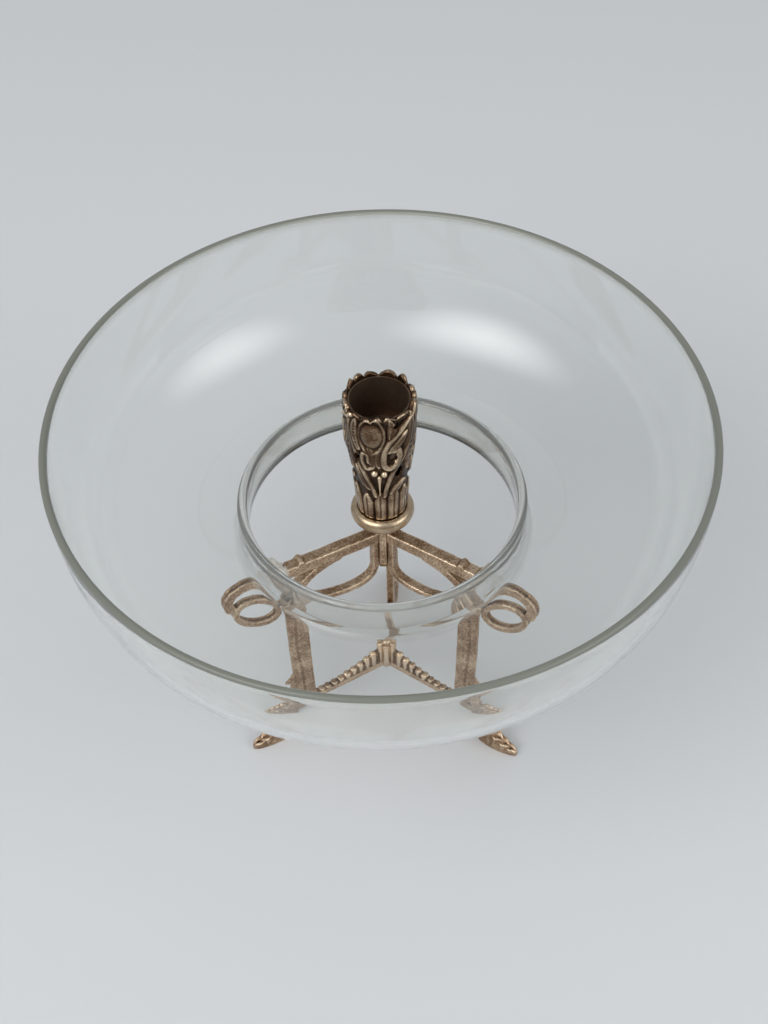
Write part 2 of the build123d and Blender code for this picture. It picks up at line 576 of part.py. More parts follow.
# Candle socket: a flared pierced sleeve with leaf flutes below, buds above and a scalloped rim
with BuildPart() as candle_socket:
    with BuildSketch(Plane.XZ):
        with BuildLine():
            sleeve_foot = Line((0, SOCKET_BOTTOM_Z), (SOCKET_BASE_RADIUS, SOCKET_BOTTOM_Z))
            sleeve_skirt = Line(sleeve_foot @ 1, (SOCKET_BASE_RADIUS, COLLAR_TOP_Z))
            sleeve_outside = Spline(
                sleeve_skirt @ 1,
                (SOCKET_WAIST_RADIUS, SOCKET_WAIST_Z),
                (SOCKET_SHOULDER_RADIUS, LINER_SEAT_Z),
                (SOCKET_MOUTH_RADIUS, SOCKET_TOP_Z),
            )
            sleeve_lip = Line(sleeve_outside @ 1, (SLEEVE_BORE_RADIUS, SOCKET_TOP_Z))
            sleeve_bore = Line(sleeve_lip @ 1, (SLEEVE_BORE_RADIUS, LINER_SEAT_Z))
            sleeve_ledge = Line(sleeve_bore @ 1, (SOCKET_WAIST_RADIUS - SOCKET_WALL, LINER_SEAT_Z))
            sleeve_throat = Line(sleeve_ledge @ 1, (SOCKET_WAIST_RADIUS - SOCKET_WALL, SOCKET_WAIST_Z))
            sleeve_well = Line(sleeve_throat @ 1, (SOCKET_BASE_RADIUS - SOCKET_WALL, SOCKET_FLOOR_Z))
            sleeve_floor = Line(sleeve_well @ 1, (0, SOCKET_FLOOR_Z))
            Line(sleeve_floor @ 1, sleeve_foot @ 0)
        make_face()
    revolve(axis=Axis.Z)
    for k in range(FLUTE_COUNT):
        with Locations(sleeve_plane(360 / FLUTE_COUNT * k, FLUTE_SHARE / 2)):
            Cylinder(FLUTE_RADIUS, SOCKET_RISE * FLUTE_SHARE - 2 * CLEARANCE, rotation=(90, 0, 0))
    for k in range(ORNAMENT_COUNT):
        middle = 360 / ORNAMENT_COUNT * k + FIRST_LEG_AZIMUTH
        with Locations(sleeve_plane(middle, BUD_SHARE)):
            Sphere(BUD_RADIUS)
        for side in (1, -1):
            for low, high in ((0.2, 0.55), (0.55, 0.85)):
                start = sleeve_plane(middle + side * STEM_SPREAD * 0.1, low).origin
                end = sleeve_plane(middle + side * STEM_SPREAD, high).origin
                with Locations(Plane(origin=(start + end) / 2, z_dir=end - start)):
                    Cylinder(STEM_RADIUS, (end - start).length)
                    Sphere(STEM_RADIUS)
            with Locations(sleeve_plane(middle + side * EYE_SPREAD, EYE_SHARE)):
                Torus(EYE_RADIUS, STEM_RADIUS)
    for k in range(ORNAMENT_COUNT):
        middle = 360 / ORNAMENT_COUNT * k + FIRST_LEG_AZIMUTH
        for side in (1, -1):
            with Locations(sleeve_plane(middle + side * EYE_SPREAD, EYE_SHARE)):
                Cylinder(PIERCING_RADIUS, 2 * SOCKET_BASE_RADIUS, mode=Mode.SUBTRACT)
        with Locations(sleeve_plane(middle + 180 / ORNAMENT_COUNT, EYE_SHARE - 0.14)):
            Cylinder(PIERCING_RADIUS, 2 * SOCKET_BASE_RADIUS, mode=Mode.SUBTRACT)
        with Locations(sleeve_plane(middle + 180 / ORNAMENT_COUNT, BUD_SHARE)):
            Cylinder(PIERCING_RADIUS, 2 * SOCKET_BASE_RADIUS, mode=Mode.SUBTRACT)
    with Locations((0, 0, SOCKET_TOP_Z)):
        with PolarLocations(SOCKET_MOUTH_RADIUS, SCALLOP_COUNT):
            scallop_length = 2 * BUD_RADIUS + 2 * SOCKET_WALL
            Cylinder(SCALLOP_DEPTH, scallop_length, rotation=(0, 90, 0), mode=Mode.SUBTRACT)
    with Locations((0, 0, LINER_TOP_Z)):
        Cylinder(
            SLEEVE_BORE_RADIUS,
            LINER_TOP_Z - LINER_SEAT_Z,
            align=(Align.CENTER, Align.CENTER, Align.MAX),
            mode=Mode.SUBTRACT,
        )
    with Locations((0, 0, SOCKET_FLOOR_Z)):
        Cylinder(STUD_RADIUS + CLEARANCE, 4 * SOCKET_FLOOR, mode=Mode.SUBTRACT)
finish(candle_socket.part, "candle_socket")

# Socket liner: a plain cup that takes the candle and lifts out of the sleeve
with BuildPart() as socket_liner:
    with BuildSketch(Plane.XY.offset(LINER_SEAT_Z)):
        Circle(LINER_RADIUS)
    extrude(amount=LINER_TOP_Z - LINER_SEAT_Z)
    with BuildSketch(Plane.XY.offset(LINER_SEAT_Z + LINER_FLOOR)):
        Circle(CANDLE_BORE_RADIUS)
    extrude(amount=CANDLE_BORE_DEPTH, mode=Mode.SUBTRACT)
finish(socket_liner.part, "socket_liner")

# Tie stud with its washer and nuts
STUD_LOW_Z = HUB_BOTTOM_Z - WASHER_HEIGHT - NUT_HEIGHT - STUD_OVERHANG
STUD_HIGH_Z = SOCKET_FLOOR_Z + NUT_HEIGHT + STUD_OVERHANG
with BuildPart() as tie_stud:
    with BuildSketch(Plane.XY.offset(STUD_LOW_Z)):
        Circle(STUD_RADIUS)
    extrude(amount=STUD_HIGH_Z - STUD_LOW_Z)
finish(tie_stud.part, "tie_stud")

with BuildPart() as socket_nut:
    with BuildSketch(Plane.XY.offset(SOCKET_FLOOR_Z)):
        RegularPolygon(NUT_ACROSS_FLATS / 2, 6, major_radius=False)
        Circle(STUD_RADIUS + BRAZE_GAP, mode=Mode.SUBTRACT)
    extrude(amount=NUT_HEIGHT)
finish(socket_nut.part, "socket_nut")

with BuildPart() as stud_washer:
    with BuildSketch(Plane.XY.offset(HUB_BOTTOM_Z - WASHER_HEIGHT)):
        Circle(WASHER_RADIUS)
        Circle(STUD_RADIUS + CLEARANCE, mode=Mode.SUBTRACT)
    extrude(amount=WASHER_HEIGHT)
finish(stud_washer.part, "stud_washer")

with BuildPart() as stud_nut:
    with BuildSketch(Plane.XY.offset(HUB_BOTTOM_Z - WASHER_HEIGHT - NUT_HEIGHT)):
        RegularPolygon(NUT_ACROSS_FLATS / 2, 6, major_radius=False)
        Circle(STUD_RADIUS + BRAZE_GAP, mode=Mode.SUBTRACT)
    extrude(amount=NUT_HEIGHT)
finish(stud_nut.part, "stud_nut")
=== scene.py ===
"""Floating candle bowl: a ring-shaped glass bowl on a cast brass stand with a leafy candle socket."""

import logging
import math
from collections.abc import Callable, Sequence
from dataclasses import dataclass, field
from enum import Enum

import bpy
import numpy as np
from mathutils import Matrix, Vector


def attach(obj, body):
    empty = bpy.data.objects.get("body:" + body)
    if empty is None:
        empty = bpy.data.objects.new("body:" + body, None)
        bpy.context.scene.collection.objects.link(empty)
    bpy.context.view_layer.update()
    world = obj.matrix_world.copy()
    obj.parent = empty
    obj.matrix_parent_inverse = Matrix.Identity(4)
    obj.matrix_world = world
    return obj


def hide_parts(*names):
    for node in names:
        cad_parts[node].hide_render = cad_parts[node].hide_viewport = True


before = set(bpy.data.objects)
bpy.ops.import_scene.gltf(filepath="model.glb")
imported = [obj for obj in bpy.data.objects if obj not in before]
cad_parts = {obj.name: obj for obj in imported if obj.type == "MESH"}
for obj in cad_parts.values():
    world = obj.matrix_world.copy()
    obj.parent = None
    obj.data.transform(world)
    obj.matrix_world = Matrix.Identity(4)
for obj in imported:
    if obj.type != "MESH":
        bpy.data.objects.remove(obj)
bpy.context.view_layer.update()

logging.basicConfig(level=logging.INFO, format="%(message)s")
log = logging.getLogger("candle_bowl")

MM = 0.001
STAND = "stand"
SEED = 7
# Wear and painted light run from minus this value, painted shade in a recess, to this value, a rubbed edge
# with a painted highlight.
FULL_WEAR_AND_PAINTED_LIGHT = 0.5
# When a neighbourhood is averaged, a point counts with the first share and its neighbours with the second.
OWN_SHARE = 0.3
NEIGHBOUR_SHARE = 0.7
MATH = "ShaderNodeMath"
NOISE = "ShaderNodeTexNoise"
MAP_RANGE = "ShaderNodeMapRange"
Point = tuple[float, float]
Triple = tuple[float, float, float]
Shape = tuple[list[Triple], list[tuple[int, ...]]]
Shift = Callable[[np.ndarray, np.ndarray], np.ndarray]


class Slot(str, Enum):
    """Material slots of the record."""

    GLASS = "clear_glass"
    AGED = "aged_brass"
    POLISHED = "polished_brass"
    DARK = "dark_brass"


class Cast(str, Enum):
    """Kinds of casting in each of the stand's side frames."""

    ARM = "arm"
    BRACE = "brace"
    VOLUTE = "volute"
    LEG = "leg"


def linear(code: str) -> tuple[float, float, float, float]:
    """Turns an sRGB hex colour into linear values.

    Args:
        code: Six hex digits after a hash sign.

    Returns:
        Linear red, green, blue and an alpha of 1.
    """
    parts = [int(code[k:k + 2], 16) / 255 for k in (1, 3, 5)]
    r, g, b = [c / 12.92 if c <= 0.04045 else ((c + 0.055) / 1.055) ** 2.4 for c in parts]
    return r, g, b, 1.0


def add(tree: bpy.types.NodeTree, kind: str, inputs: dict | None = None,
        **settings: object) -> bpy.types.Node:
    """Adds a node with its settings, socket values and links.

    Args:
        tree: The tree that gets the node.
        kind: Blender's name of the node type.
        inputs: Values or output sockets by socket name or index.
        settings: Attributes to set on the node.

    Returns:
        The new node.
    """
    node = tree.nodes.new(kind)
    for key, value in settings.items():
        setattr(node, key, value)
    for key, value in (inputs or {}).items():
        if isinstance(value, bpy.types.NodeSocket):
            tree.links.new(value, node.inputs[key])
        else:
            node.inputs[key].default_value = value
    return node


@dataclass(frozen=True)
class BrassFinish:
    """Brass: bright where hands and cloths rub the edges, with painted highlights there, and brown where
    tarnish stays in the recesses, darkened with painted shade.

    The grain of casting sand is about 0.2 mm, too fine to show in the render, so grain_mm draws it coarser.
    """

    name: str
    # Ramp tones: bright for rubbed edges and painted highlights, recess for tarnish and painted shade.
    bright: str
    middle: str
    recess: str
    roughness: float
    grain_mm: float
    grain_bump: float
    patina_mm: float = 9.0
    wear_and_light_gain: float = 1.0
    speckle: float = 0.5
    patina_gain: float = 0.9
    stops: Triple = (0.0, 0.42, 0.9)
    recess_rough: float = 0.2
    edge_rough: float = -0.06
    bump_mm: float = 0.32
    wax_colour: str = "#e6e2d8"
    wax_grain: Point = (0.3, 0.42)
    wax_rough: float = 0.25

    def build(self) -> bpy.types.Material:
        """Makes the material, which reads the wear with its painted highlights and shade, and the wax, that
        the mesh carries.

        Returns:
            The new material.
        """
        material = bpy.data.materials.new(self.name)
        material.use_nodes = True
        tree = material.node_tree
        shader = tree.nodes["Principled BSDF"]
        place = add(tree, "ShaderNodeTexCoord").outputs["Object"]
        wear_and_painted_light = add(tree, "ShaderNodeAttribute", attribute_name="wear_and_painted_light").outputs["Fac"]
        wax = add(tree, "ShaderNodeAttribute", attribute_name="wax").outputs["Fac"]
        clouds = {"Vector": place, "Scale": 1 / (self.patina_mm * MM), "Detail": 6.0, "Roughness": 0.62}
        patina = add(tree, NOISE, clouds).outputs["Fac"]
        sand = {"Vector": place, "Scale": 1 / (self.grain_mm * MM), "Detail": 3.0, "Roughness": 0.6}
        grain = add(tree, NOISE, sand).outputs["Fac"]

        # Wear and painted light: below zero is painted shade in recesses, above zero is rubbed edges with
        # painted highlights.
        wear_and_light_inputs = {0: wear_and_painted_light, 1: self.wear_and_light_gain, 2: FULL_WEAR_AND_PAINTED_LIGHT}
        worn_and_painted = add(tree, MATH, wear_and_light_inputs, operation="MULTIPLY_ADD").outputs[0]
        cloudy = add(tree, MATH, {0: patina, 1: self.patina_gain, 2: -self.patina_gain / 2},
                     operation="MULTIPLY_ADD").outputs[0]
        speckle = add(tree, MATH, {0: grain, 1: self.speckle, 2: -self.speckle / 2},
                      operation="MULTIPLY_ADD").outputs[0]
        spotted = add(tree, MATH, {0: cloudy, 1: speckle}, operation="ADD").outputs[0]
        total = add(tree, MATH, {0: worn_and_painted, 1: spotted}, operation="ADD", use_clamp=True).outputs[0]
        tone = add(tree, "ShaderNodeValToRGB", {"Fac": total})
        tone.color_ramp.elements.new(self.stops[1])
        colours = (self.recess, self.middle, self.bright)
        for element, position, code in zip(tone.color_ramp.elements, self.stops, colours):
            element.position = position
            element.color = linear(code)

        flecks = add(tree, MATH, {0: wax, 1: grain}, operation="MULTIPLY").outputs[0]
        least, most = self.wax_grain
        spots = {"Value": flecks, "From Min": least, "From Max": most}
        crust = add(tree, MAP_RANGE, spots).outputs["Result"]
        coat = {"Factor": crust, 6: tone.outputs["Color"], 7: linear(self.wax_colour)}
        coated = add(tree, "ShaderNodeMix", coat, data_type="RGBA").outputs[2]
        metal = add(tree, MATH, {0: 1.0, 1: crust}, operation="SUBTRACT").outputs[0]
        span = {"Value": total, "To Min": self.roughness + self.recess_rough,
                "To Max": self.roughness + self.edge_rough}
        rough = add(tree, MAP_RANGE, span).outputs["Result"]
        waxy = add(tree, MATH, {0: crust, 1: self.wax_rough, 2: rough}, operation="MULTIPLY_ADD").outputs[0]
        height = {"Height": grain, "Strength": self.grain_bump, "Distance": self.bump_mm * MM}
        bump = add(tree, "ShaderNodeBump", height).outputs["Normal"]
        ends = {"Base Color": coated, "Metallic": metal, "Roughness": waxy, "Normal": bump}
        for socket, source in ends.items():
            tree.links.new(source, shader.inputs[socket])
        return material


@dataclass(frozen=True)
class GlassFinish:
    """Blown soda glass: clear, slightly wavy, with fine scratches, and at its edges a grey-green tint that
    is partly its own and partly painted light standing in for the lines that the thick edges refract.

    Real scratches are under 0.1 mm wide, too fine to show in the render, so scratch_mm draws them coarser.
    """

    name: str = "blown_soda_glass"
    tint: str = "#fbfcfa"
    edge_tint_and_painted_light: str = "#a5a89b"
    edge_body: float = 0.5
    refraction: float = 1.45
    shine: float = 0.2
    wave_mm: float = 26.0
    wave_bump: float = 0.12
    wave_depth_mm: float = 0.6
    scratch_mm: float = 0.8
    scratch_turn: Triple = (0.4, 0.9, 0.3)
    scratch_stretch: Triple = (1.0, 1.0, 0.03)
    scratch_noise: Point = (0.66, 0.76)
    roughness: Point = (0.004, 0.09)

    def build(self) -> bpy.types.Material:
        """Makes the material, which reads the edge value that the mesh carries.

        Returns:
            The new material.
        """
        material = bpy.data.materials.new(self.name)
        material.use_nodes = True
        tree = material.node_tree
        shader = tree.nodes["Principled BSDF"]
        shader.inputs["IOR"].default_value = self.refraction
        shader.inputs["Specular IOR Level"].default_value = self.shine
        edge = add(tree, "ShaderNodeAttribute", attribute_name="edge").outputs["Fac"]
        # The edge value mixes in a dull grey-green body: partly the glass's edge tint, partly painted light
        # for the refracted lines of the edges.
        cast = {"Factor": edge, 6: linear(self.tint), 7: linear(self.edge_tint_and_painted_light)}
        tone = add(tree, "ShaderNodeMix", cast, data_type="RGBA").outputs[2]
        clear = add(tree, MATH, {0: edge, 1: -self.edge_body, 2: 1.0}, operation="MULTIPLY_ADD").outputs[0]
        place = add(tree, "ShaderNodeTexCoord").outputs["Object"]
        swell = {"Vector": place, "Scale": 1 / (self.wave_mm * MM), "Detail": 1.0}
        wave = add(tree, NOISE, swell).outputs["Fac"]
        along = {"Vector": place, "Rotation": self.scratch_turn, "Scale": self.scratch_stretch}
        streak = add(tree, "ShaderNodeMapping", along).outputs["Vector"]
        fine = {"Vector": streak, "Scale": 1 / (self.scratch_mm * MM), "Detail": 2.0}
        scratch = add(tree, NOISE, fine).outputs["Fac"]
        span = {"Value": scratch, "From Min": self.scratch_noise[0], "From Max": self.scratch_noise[1],
                "To Min": self.roughness[0], "To Max": self.roughness[1]}
        marks = add(tree, MAP_RANGE, span).outputs["Result"]
        height = {"Height": wave, "Strength": self.wave_bump, "Distance": self.wave_depth_mm * MM}
        bump = add(tree, "ShaderNodeBump", height).outputs["Normal"]
        ends = {"Base Color": tone, "Transmission Weight": clear, "Roughness": marks, "Normal": bump}
        for socket, source in ends.items():
            tree.links.new(source, shader.inputs[socket])
        return material


@dataclass(frozen=True)
class Finishes:
    """The finishes of the object, each made once."""

    # Soda glass, blown: clear with a soft shine, and a grey-green line along the rim and the inner wall that
    # is partly the glass's edge tint and partly painted light in place of the refracted lines there.
    glass: bpy.types.Material = field(default_factory=GlassFinish().build)
    # Brass, sand cast and worn: brown and speckled, pale on rubbed edges with painted highlights, and dark
    # in grooves with painted shade.
    aged: bpy.types.Material = field(default_factory=BrassFinish(
        "worn_cast_brass_painted_shade", "#f0d8ba", "#9a7c61", "#302216", 0.27, 0.8, 1.0, speckle=1.1).build)
    # Brass, cast as leaves and tarnished: ground darkened with painted shade, brown leaves, and edges with
    # painted glints.
    leafy: bpy.types.Material = field(default_factory=BrassFinish(
        "tarnished_leaf_brass_painted_light", "#e4cdae", "#6a513d", "#2a1e15", 0.24, 0.7, 0.35, wear_and_light_gain=1.1).build)
    # Brass, turned and polished: smooth and pale, with a faint cloud of tarnish.
    polished: bpy.types.Material = field(default_factory=BrassFinish(
        "polished_collar_brass", "#e2d2b6", "#a78e72", "#4a3a2b", 0.24, 0.6, 0.15,
        patina_mm=6.0, speckle=0.4).build)
    # Sheet brass: dull and dark brown.
    dark: bpy.types.Material = field(default_factory=BrassFinish(
        "dull_dark_sheet_brass", "#9c8773", "#766353", "#46372b", 0.48, 0.7, 0.15,
        patina_mm=5.0, speckle=0.3).build)
    # Brass, turned and left alone: plain yellow, for the hidden fasteners.
    plain: bpy.types.Material = field(default_factory=BrassFinish(
        "turned_brass", "#b8955c", "#7f6238", "#3a2815", 0.34, 0.3, 0.1).build)


def new_object(name: str, shape: Shape, material: bpy.types.Material) -> bpy.types.Object:
    """Makes a smooth mesh object at the origin.

    Args:
        name: The piece's name.
        shape: Vertices in metres and faces.
        material: Its finish.

    Returns:
        The object, linked into the scene.
    """
    mesh = bpy.data.meshes.new(name)
    mesh.from_pydata(shape[0], [], shape[1])
    mesh.update()
    mesh.shade_smooth()
    mesh.materials.append(material)
    piece = bpy.data.objects.new(name, mesh)
    bpy.context.scene.collection.objects.link(piece)
    return piece


def solid_mesh(piece: bpy.types.Object) -> None:
    """Bakes a piece's modifiers into a plain mesh.

    Args:
        piece: The object whose modifiers are applied and removed.
    """
    graph = bpy.context.evaluated_depsgraph_get()
    baked = bpy.data.meshes.new_from_object(piece.evaluated_get(graph), depsgraph=graph)
    piece.modifiers.clear()
    piece.data = baked


def read(piece: bpy.types.Object, kind: str) -> np.ndarray:
    """Reads one vector for each point of a piece.

    Args:
        piece: The mesh object.
        kind: Either co, for places in metres, or normal, for the directions that the points face.

    Returns:
        One row for each point.
    """
    values = np.empty(len(piece.data.vertices) * 3)
    piece.data.vertices.foreach_get(kind, values)
    return values.reshape(-1, 3)


def store(piece: bpy.types.Object, name: str, values: np.ndarray) -> None:
    """Stores one value for each point of a piece.

    Args:
        piece: The mesh object.
        name: The attribute that a finish reads.
        values: One number for each point.
    """
    layer = piece.data.attributes.new(name, "FLOAT", "POINT")
    layer.data.foreach_set("value", values.astype(np.float32))


def fit_wear_and_painted_light(piece: bpy.types.Object, gain: float, reach: int = 3, lift: float | np.ndarray = 0.0) -> None:
    """Stores how far each point stands proud of its neighbourhood, for worn edges with painted highlights
    and recesses darkened with painted shade.

    Args:
        piece: The mesh object.
        gain: What the measure in millimetres is multiplied by.
        reach: How many rounds of neighbours are averaged.
        lift: What is added to it, below zero where more shade is painted.
    """
    mesh = piece.data
    count = len(mesh.vertices)
    place = read(piece, "co")
    edge = np.empty(len(mesh.edges) * 2, dtype=np.int64)
    mesh.edges.foreach_get("vertices", edge)
    a, b = edge.reshape(-1, 2).T
    links = np.bincount(a, minlength=count) + np.bincount(b, minlength=count)
    links = np.maximum(links, 1)[:, None]
    smooth = place.copy()
    for _ in range(reach):
        total = np.zeros_like(smooth)
        for axis in range(3):
            total[:, axis] = np.bincount(a, smooth[b, axis], count) + np.bincount(b, smooth[a, axis], count)
        smooth = OWN_SHARE * smooth + NEIGHBOUR_SHARE * total / links
    # Proud points get rubbed wear and painted highlights, sunken ones painted shade.
    proud = ((place - smooth) * read(piece, "normal")).sum(1) / MM
    store(piece, "wear_and_painted_light", np.clip(proud * gain + lift, -FULL_WEAR_AND_PAINTED_LIGHT, FULL_WEAR_AND_PAINTED_LIGHT))


def settle(piece: bpy.types.Object, body: str, slot: Slot, *nodes: str) -> None:
    """Rides a piece on a body and hides the nodes it stands for.

    Args:
        piece: The finished object.
        body: The body that it moves with.
        slot: Its material slot in the record; not used.
        nodes: CAD nodes that it replaces.
    """
    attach(piece, body)
    if nodes:
        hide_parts(*nodes)
    log.info("%s rides on %s with %d faces", piece.name, body, len(piece.data.polygons))


def lathe(profile: Sequence[Point], segments: int, closed: bool) -> Shape:
    """Turns a profile about the candle axis.

    Args:
        profile: Radius and height in millimetres, anticlockwise round the section, so that faces point out.
        segments: How many steps the turn has.
        closed: Whether the last point joins the first; an open profile starts and ends on the axis.

    Returns:
        Vertices in metres and faces.
    """
    verts: list[Triple] = []
    rows: list[list[int]] = []
    for r, z in profile:
        if r == 0:
            verts.append((0.0, 0.0, z * MM))
            rows.append([len(verts) - 1] * segments)
            continue
        start = len(verts)
        for k in range(segments):
            a = 2 * math.pi * k / segments
            verts.append((r * MM * math.cos(a), r * MM * math.sin(a), z * MM))
        rows.append(list(range(start, start + segments)))
    faces: list[tuple[int, ...]] = []
    pairs = list(zip(rows, rows[1:])) + ([(rows[-1], rows[0])] if closed else [])
    for low, high in pairs:
        for k in range(segments):
            n = (k + 1) % segments
            face = tuple(dict.fromkeys((low[k], low[n], high[n], high[k])))
            if len(face) > 2:
                faces.append(face)
    return verts, faces


def arc(centre: Point, radius: float, start: float, end: float, steps: int) -> list[Point]:
    """Points of a circular arc in a section, angles in degrees, both ends included."""
    angles = [math.radians(start + (end - start) * k / steps) for k in range(steps + 1)]
    return [(centre[0] + radius * math.cos(t), centre[1] + radius * math.sin(t)) for t in angles]


def clamped_curve(knots: Sequence[Point], first: Point, last: Point, steps: int) -> list[Point]:
    """Draws a smooth curve through some points with given end directions.

    Args:
        knots: The points, in order.
        first: Direction at the start.
        last: Direction at the end.
        steps: Steps in each span.

    Returns:
        Points along the curve, both ends included.
    """
    p = np.array(knots, float)
    h = np.linalg.norm(np.diff(p, axis=0), axis=1)
    n = len(p)
    system = np.eye(n)
    right = np.zeros((n, 2))
    right[0] = np.array(first) / np.hypot(*first)
    right[-1] = np.array(last) / np.hypot(*last)
    for k in range(1, n - 1):
        system[k, k - 1:k + 2] = h[k], 2 * (h[k - 1] + h[k]), h[k - 1]
        right[k] = 3 * (h[k] * (p[k] - p[k - 1]) / h[k - 1] + h[k - 1] * (p[k + 1] - p[k]) / h[k])
    slope = np.linalg.solve(system, right)
    curve: list[Point] = []
    for k in range(n - 1):
        for t in np.arange(steps) / steps:
            spot = ((2 * t**3 - 3 * t**2 + 1) * p[k] + (t**3 - 2 * t**2 + t) * h[k] * slope[k]
                    + (3 * t**2 - 2 * t**3) * p[k + 1] + (t**3 - t**2) * h[k] * slope[k + 1])
            curve.append((float(spot[0]), float(spot[1])))
    return curve + [(float(p[-1][0]), float(p[-1][1]))]


def new_tree(name: str, inputs: dict[str, str]) -> bpy.types.NodeTree:
    """Starts a geometry tree with named inputs.

    Args:
        name: The tree's name.
        inputs: The kind of each input by its name.

    Returns:
        The tree, with those inputs and a geometry output.
    """
    tree = bpy.data.node_groups.new(name, "GeometryNodeTree")
    for label, kind in inputs.items():
        tree.interface.new_socket(label, in_out="INPUT", socket_type=f"NodeSocket{kind}")
    tree.interface.new_socket("Geometry", in_out="OUTPUT", socket_type="NodeSocketGeometry")
    return tree


def end_in_ring(tree: bpy.types.NodeTree, shape: bpy.types.NodeSocket, count: bpy.types.NodeSocket,
                material: bpy.types.NodeSocket, first: float = 0.0) -> None:
    """Ends a tree by repeating a shape evenly round the candle axis.

    Args:
        tree: The tree to end.
        shape: The geometry to repeat.
        count: How often it is repeated.
        material: The finish of the result.
        first: Where the first one stands, in degrees.
    """
    spots = add(tree, "GeometryNodePoints", {"Count": count}).outputs[0]
    index = add(tree, "GeometryNodeInputIndex").outputs[0]
    step = add(tree, MATH, {0: 2 * math.pi, 1: count}, operation="DIVIDE").outputs[0]
    angle = {0: index, 1: step, 2: math.radians(first)}
    turn = add(tree, MATH, angle, operation="MULTIPLY_ADD").outputs[0]
    about = add(tree, "ShaderNodeCombineXYZ", {"Z": turn}).outputs[0]
    copy = {"Points": spots, "Instance": shape, "Rotation": about}
    copies = add(tree, "GeometryNodeInstanceOnPoints", copy).outputs[0]
    real = add(tree, "GeometryNodeRealizeInstances", {"Geometry": copies}).outputs[0]
    dressed = add(tree, "GeometryNodeSetMaterial", {"Geometry": real, "Material": material}).outputs[0]
    add(tree, "NodeGroupOutput", {"Geometry": dressed})


def around_axis(name: str) -> bpy.types.NodeTree:
    """Builds the tree that repeats a shape evenly round the candle axis.

    Args:
        name: The tree's name.

    Returns:
        A geometry tree with the inputs Geometry, Count and Material.
    """
    tree = new_tree(name, {"Geometry": "Geometry", "Count": "Int", "Material": "Material"})
    given = add(tree, "NodeGroupInput").outputs
    end_in_ring(tree, given["Geometry"], given["Count"], given["Material"])
    return tree


def repeat(piece: bpy.types.Object, tree: bpy.types.NodeTree, values: dict[str, object]) -> None:
    """Runs a geometry tree on a piece and keeps the result as a plain mesh.

    Args:
        piece: The object that holds the shape to repeat.
        tree: The tree to run.
        values: The tree's inputs by name.
    """
    run = piece.modifiers.new(tree.name, "NODES")
    run.node_group = tree
    for socket in tree.interface.items_tree:
        if socket.in_out == "INPUT" and socket.name in values:
            run[socket.identifier] = values[socket.name]
    solid_mesh(piece)
    piece.data.shade_smooth()


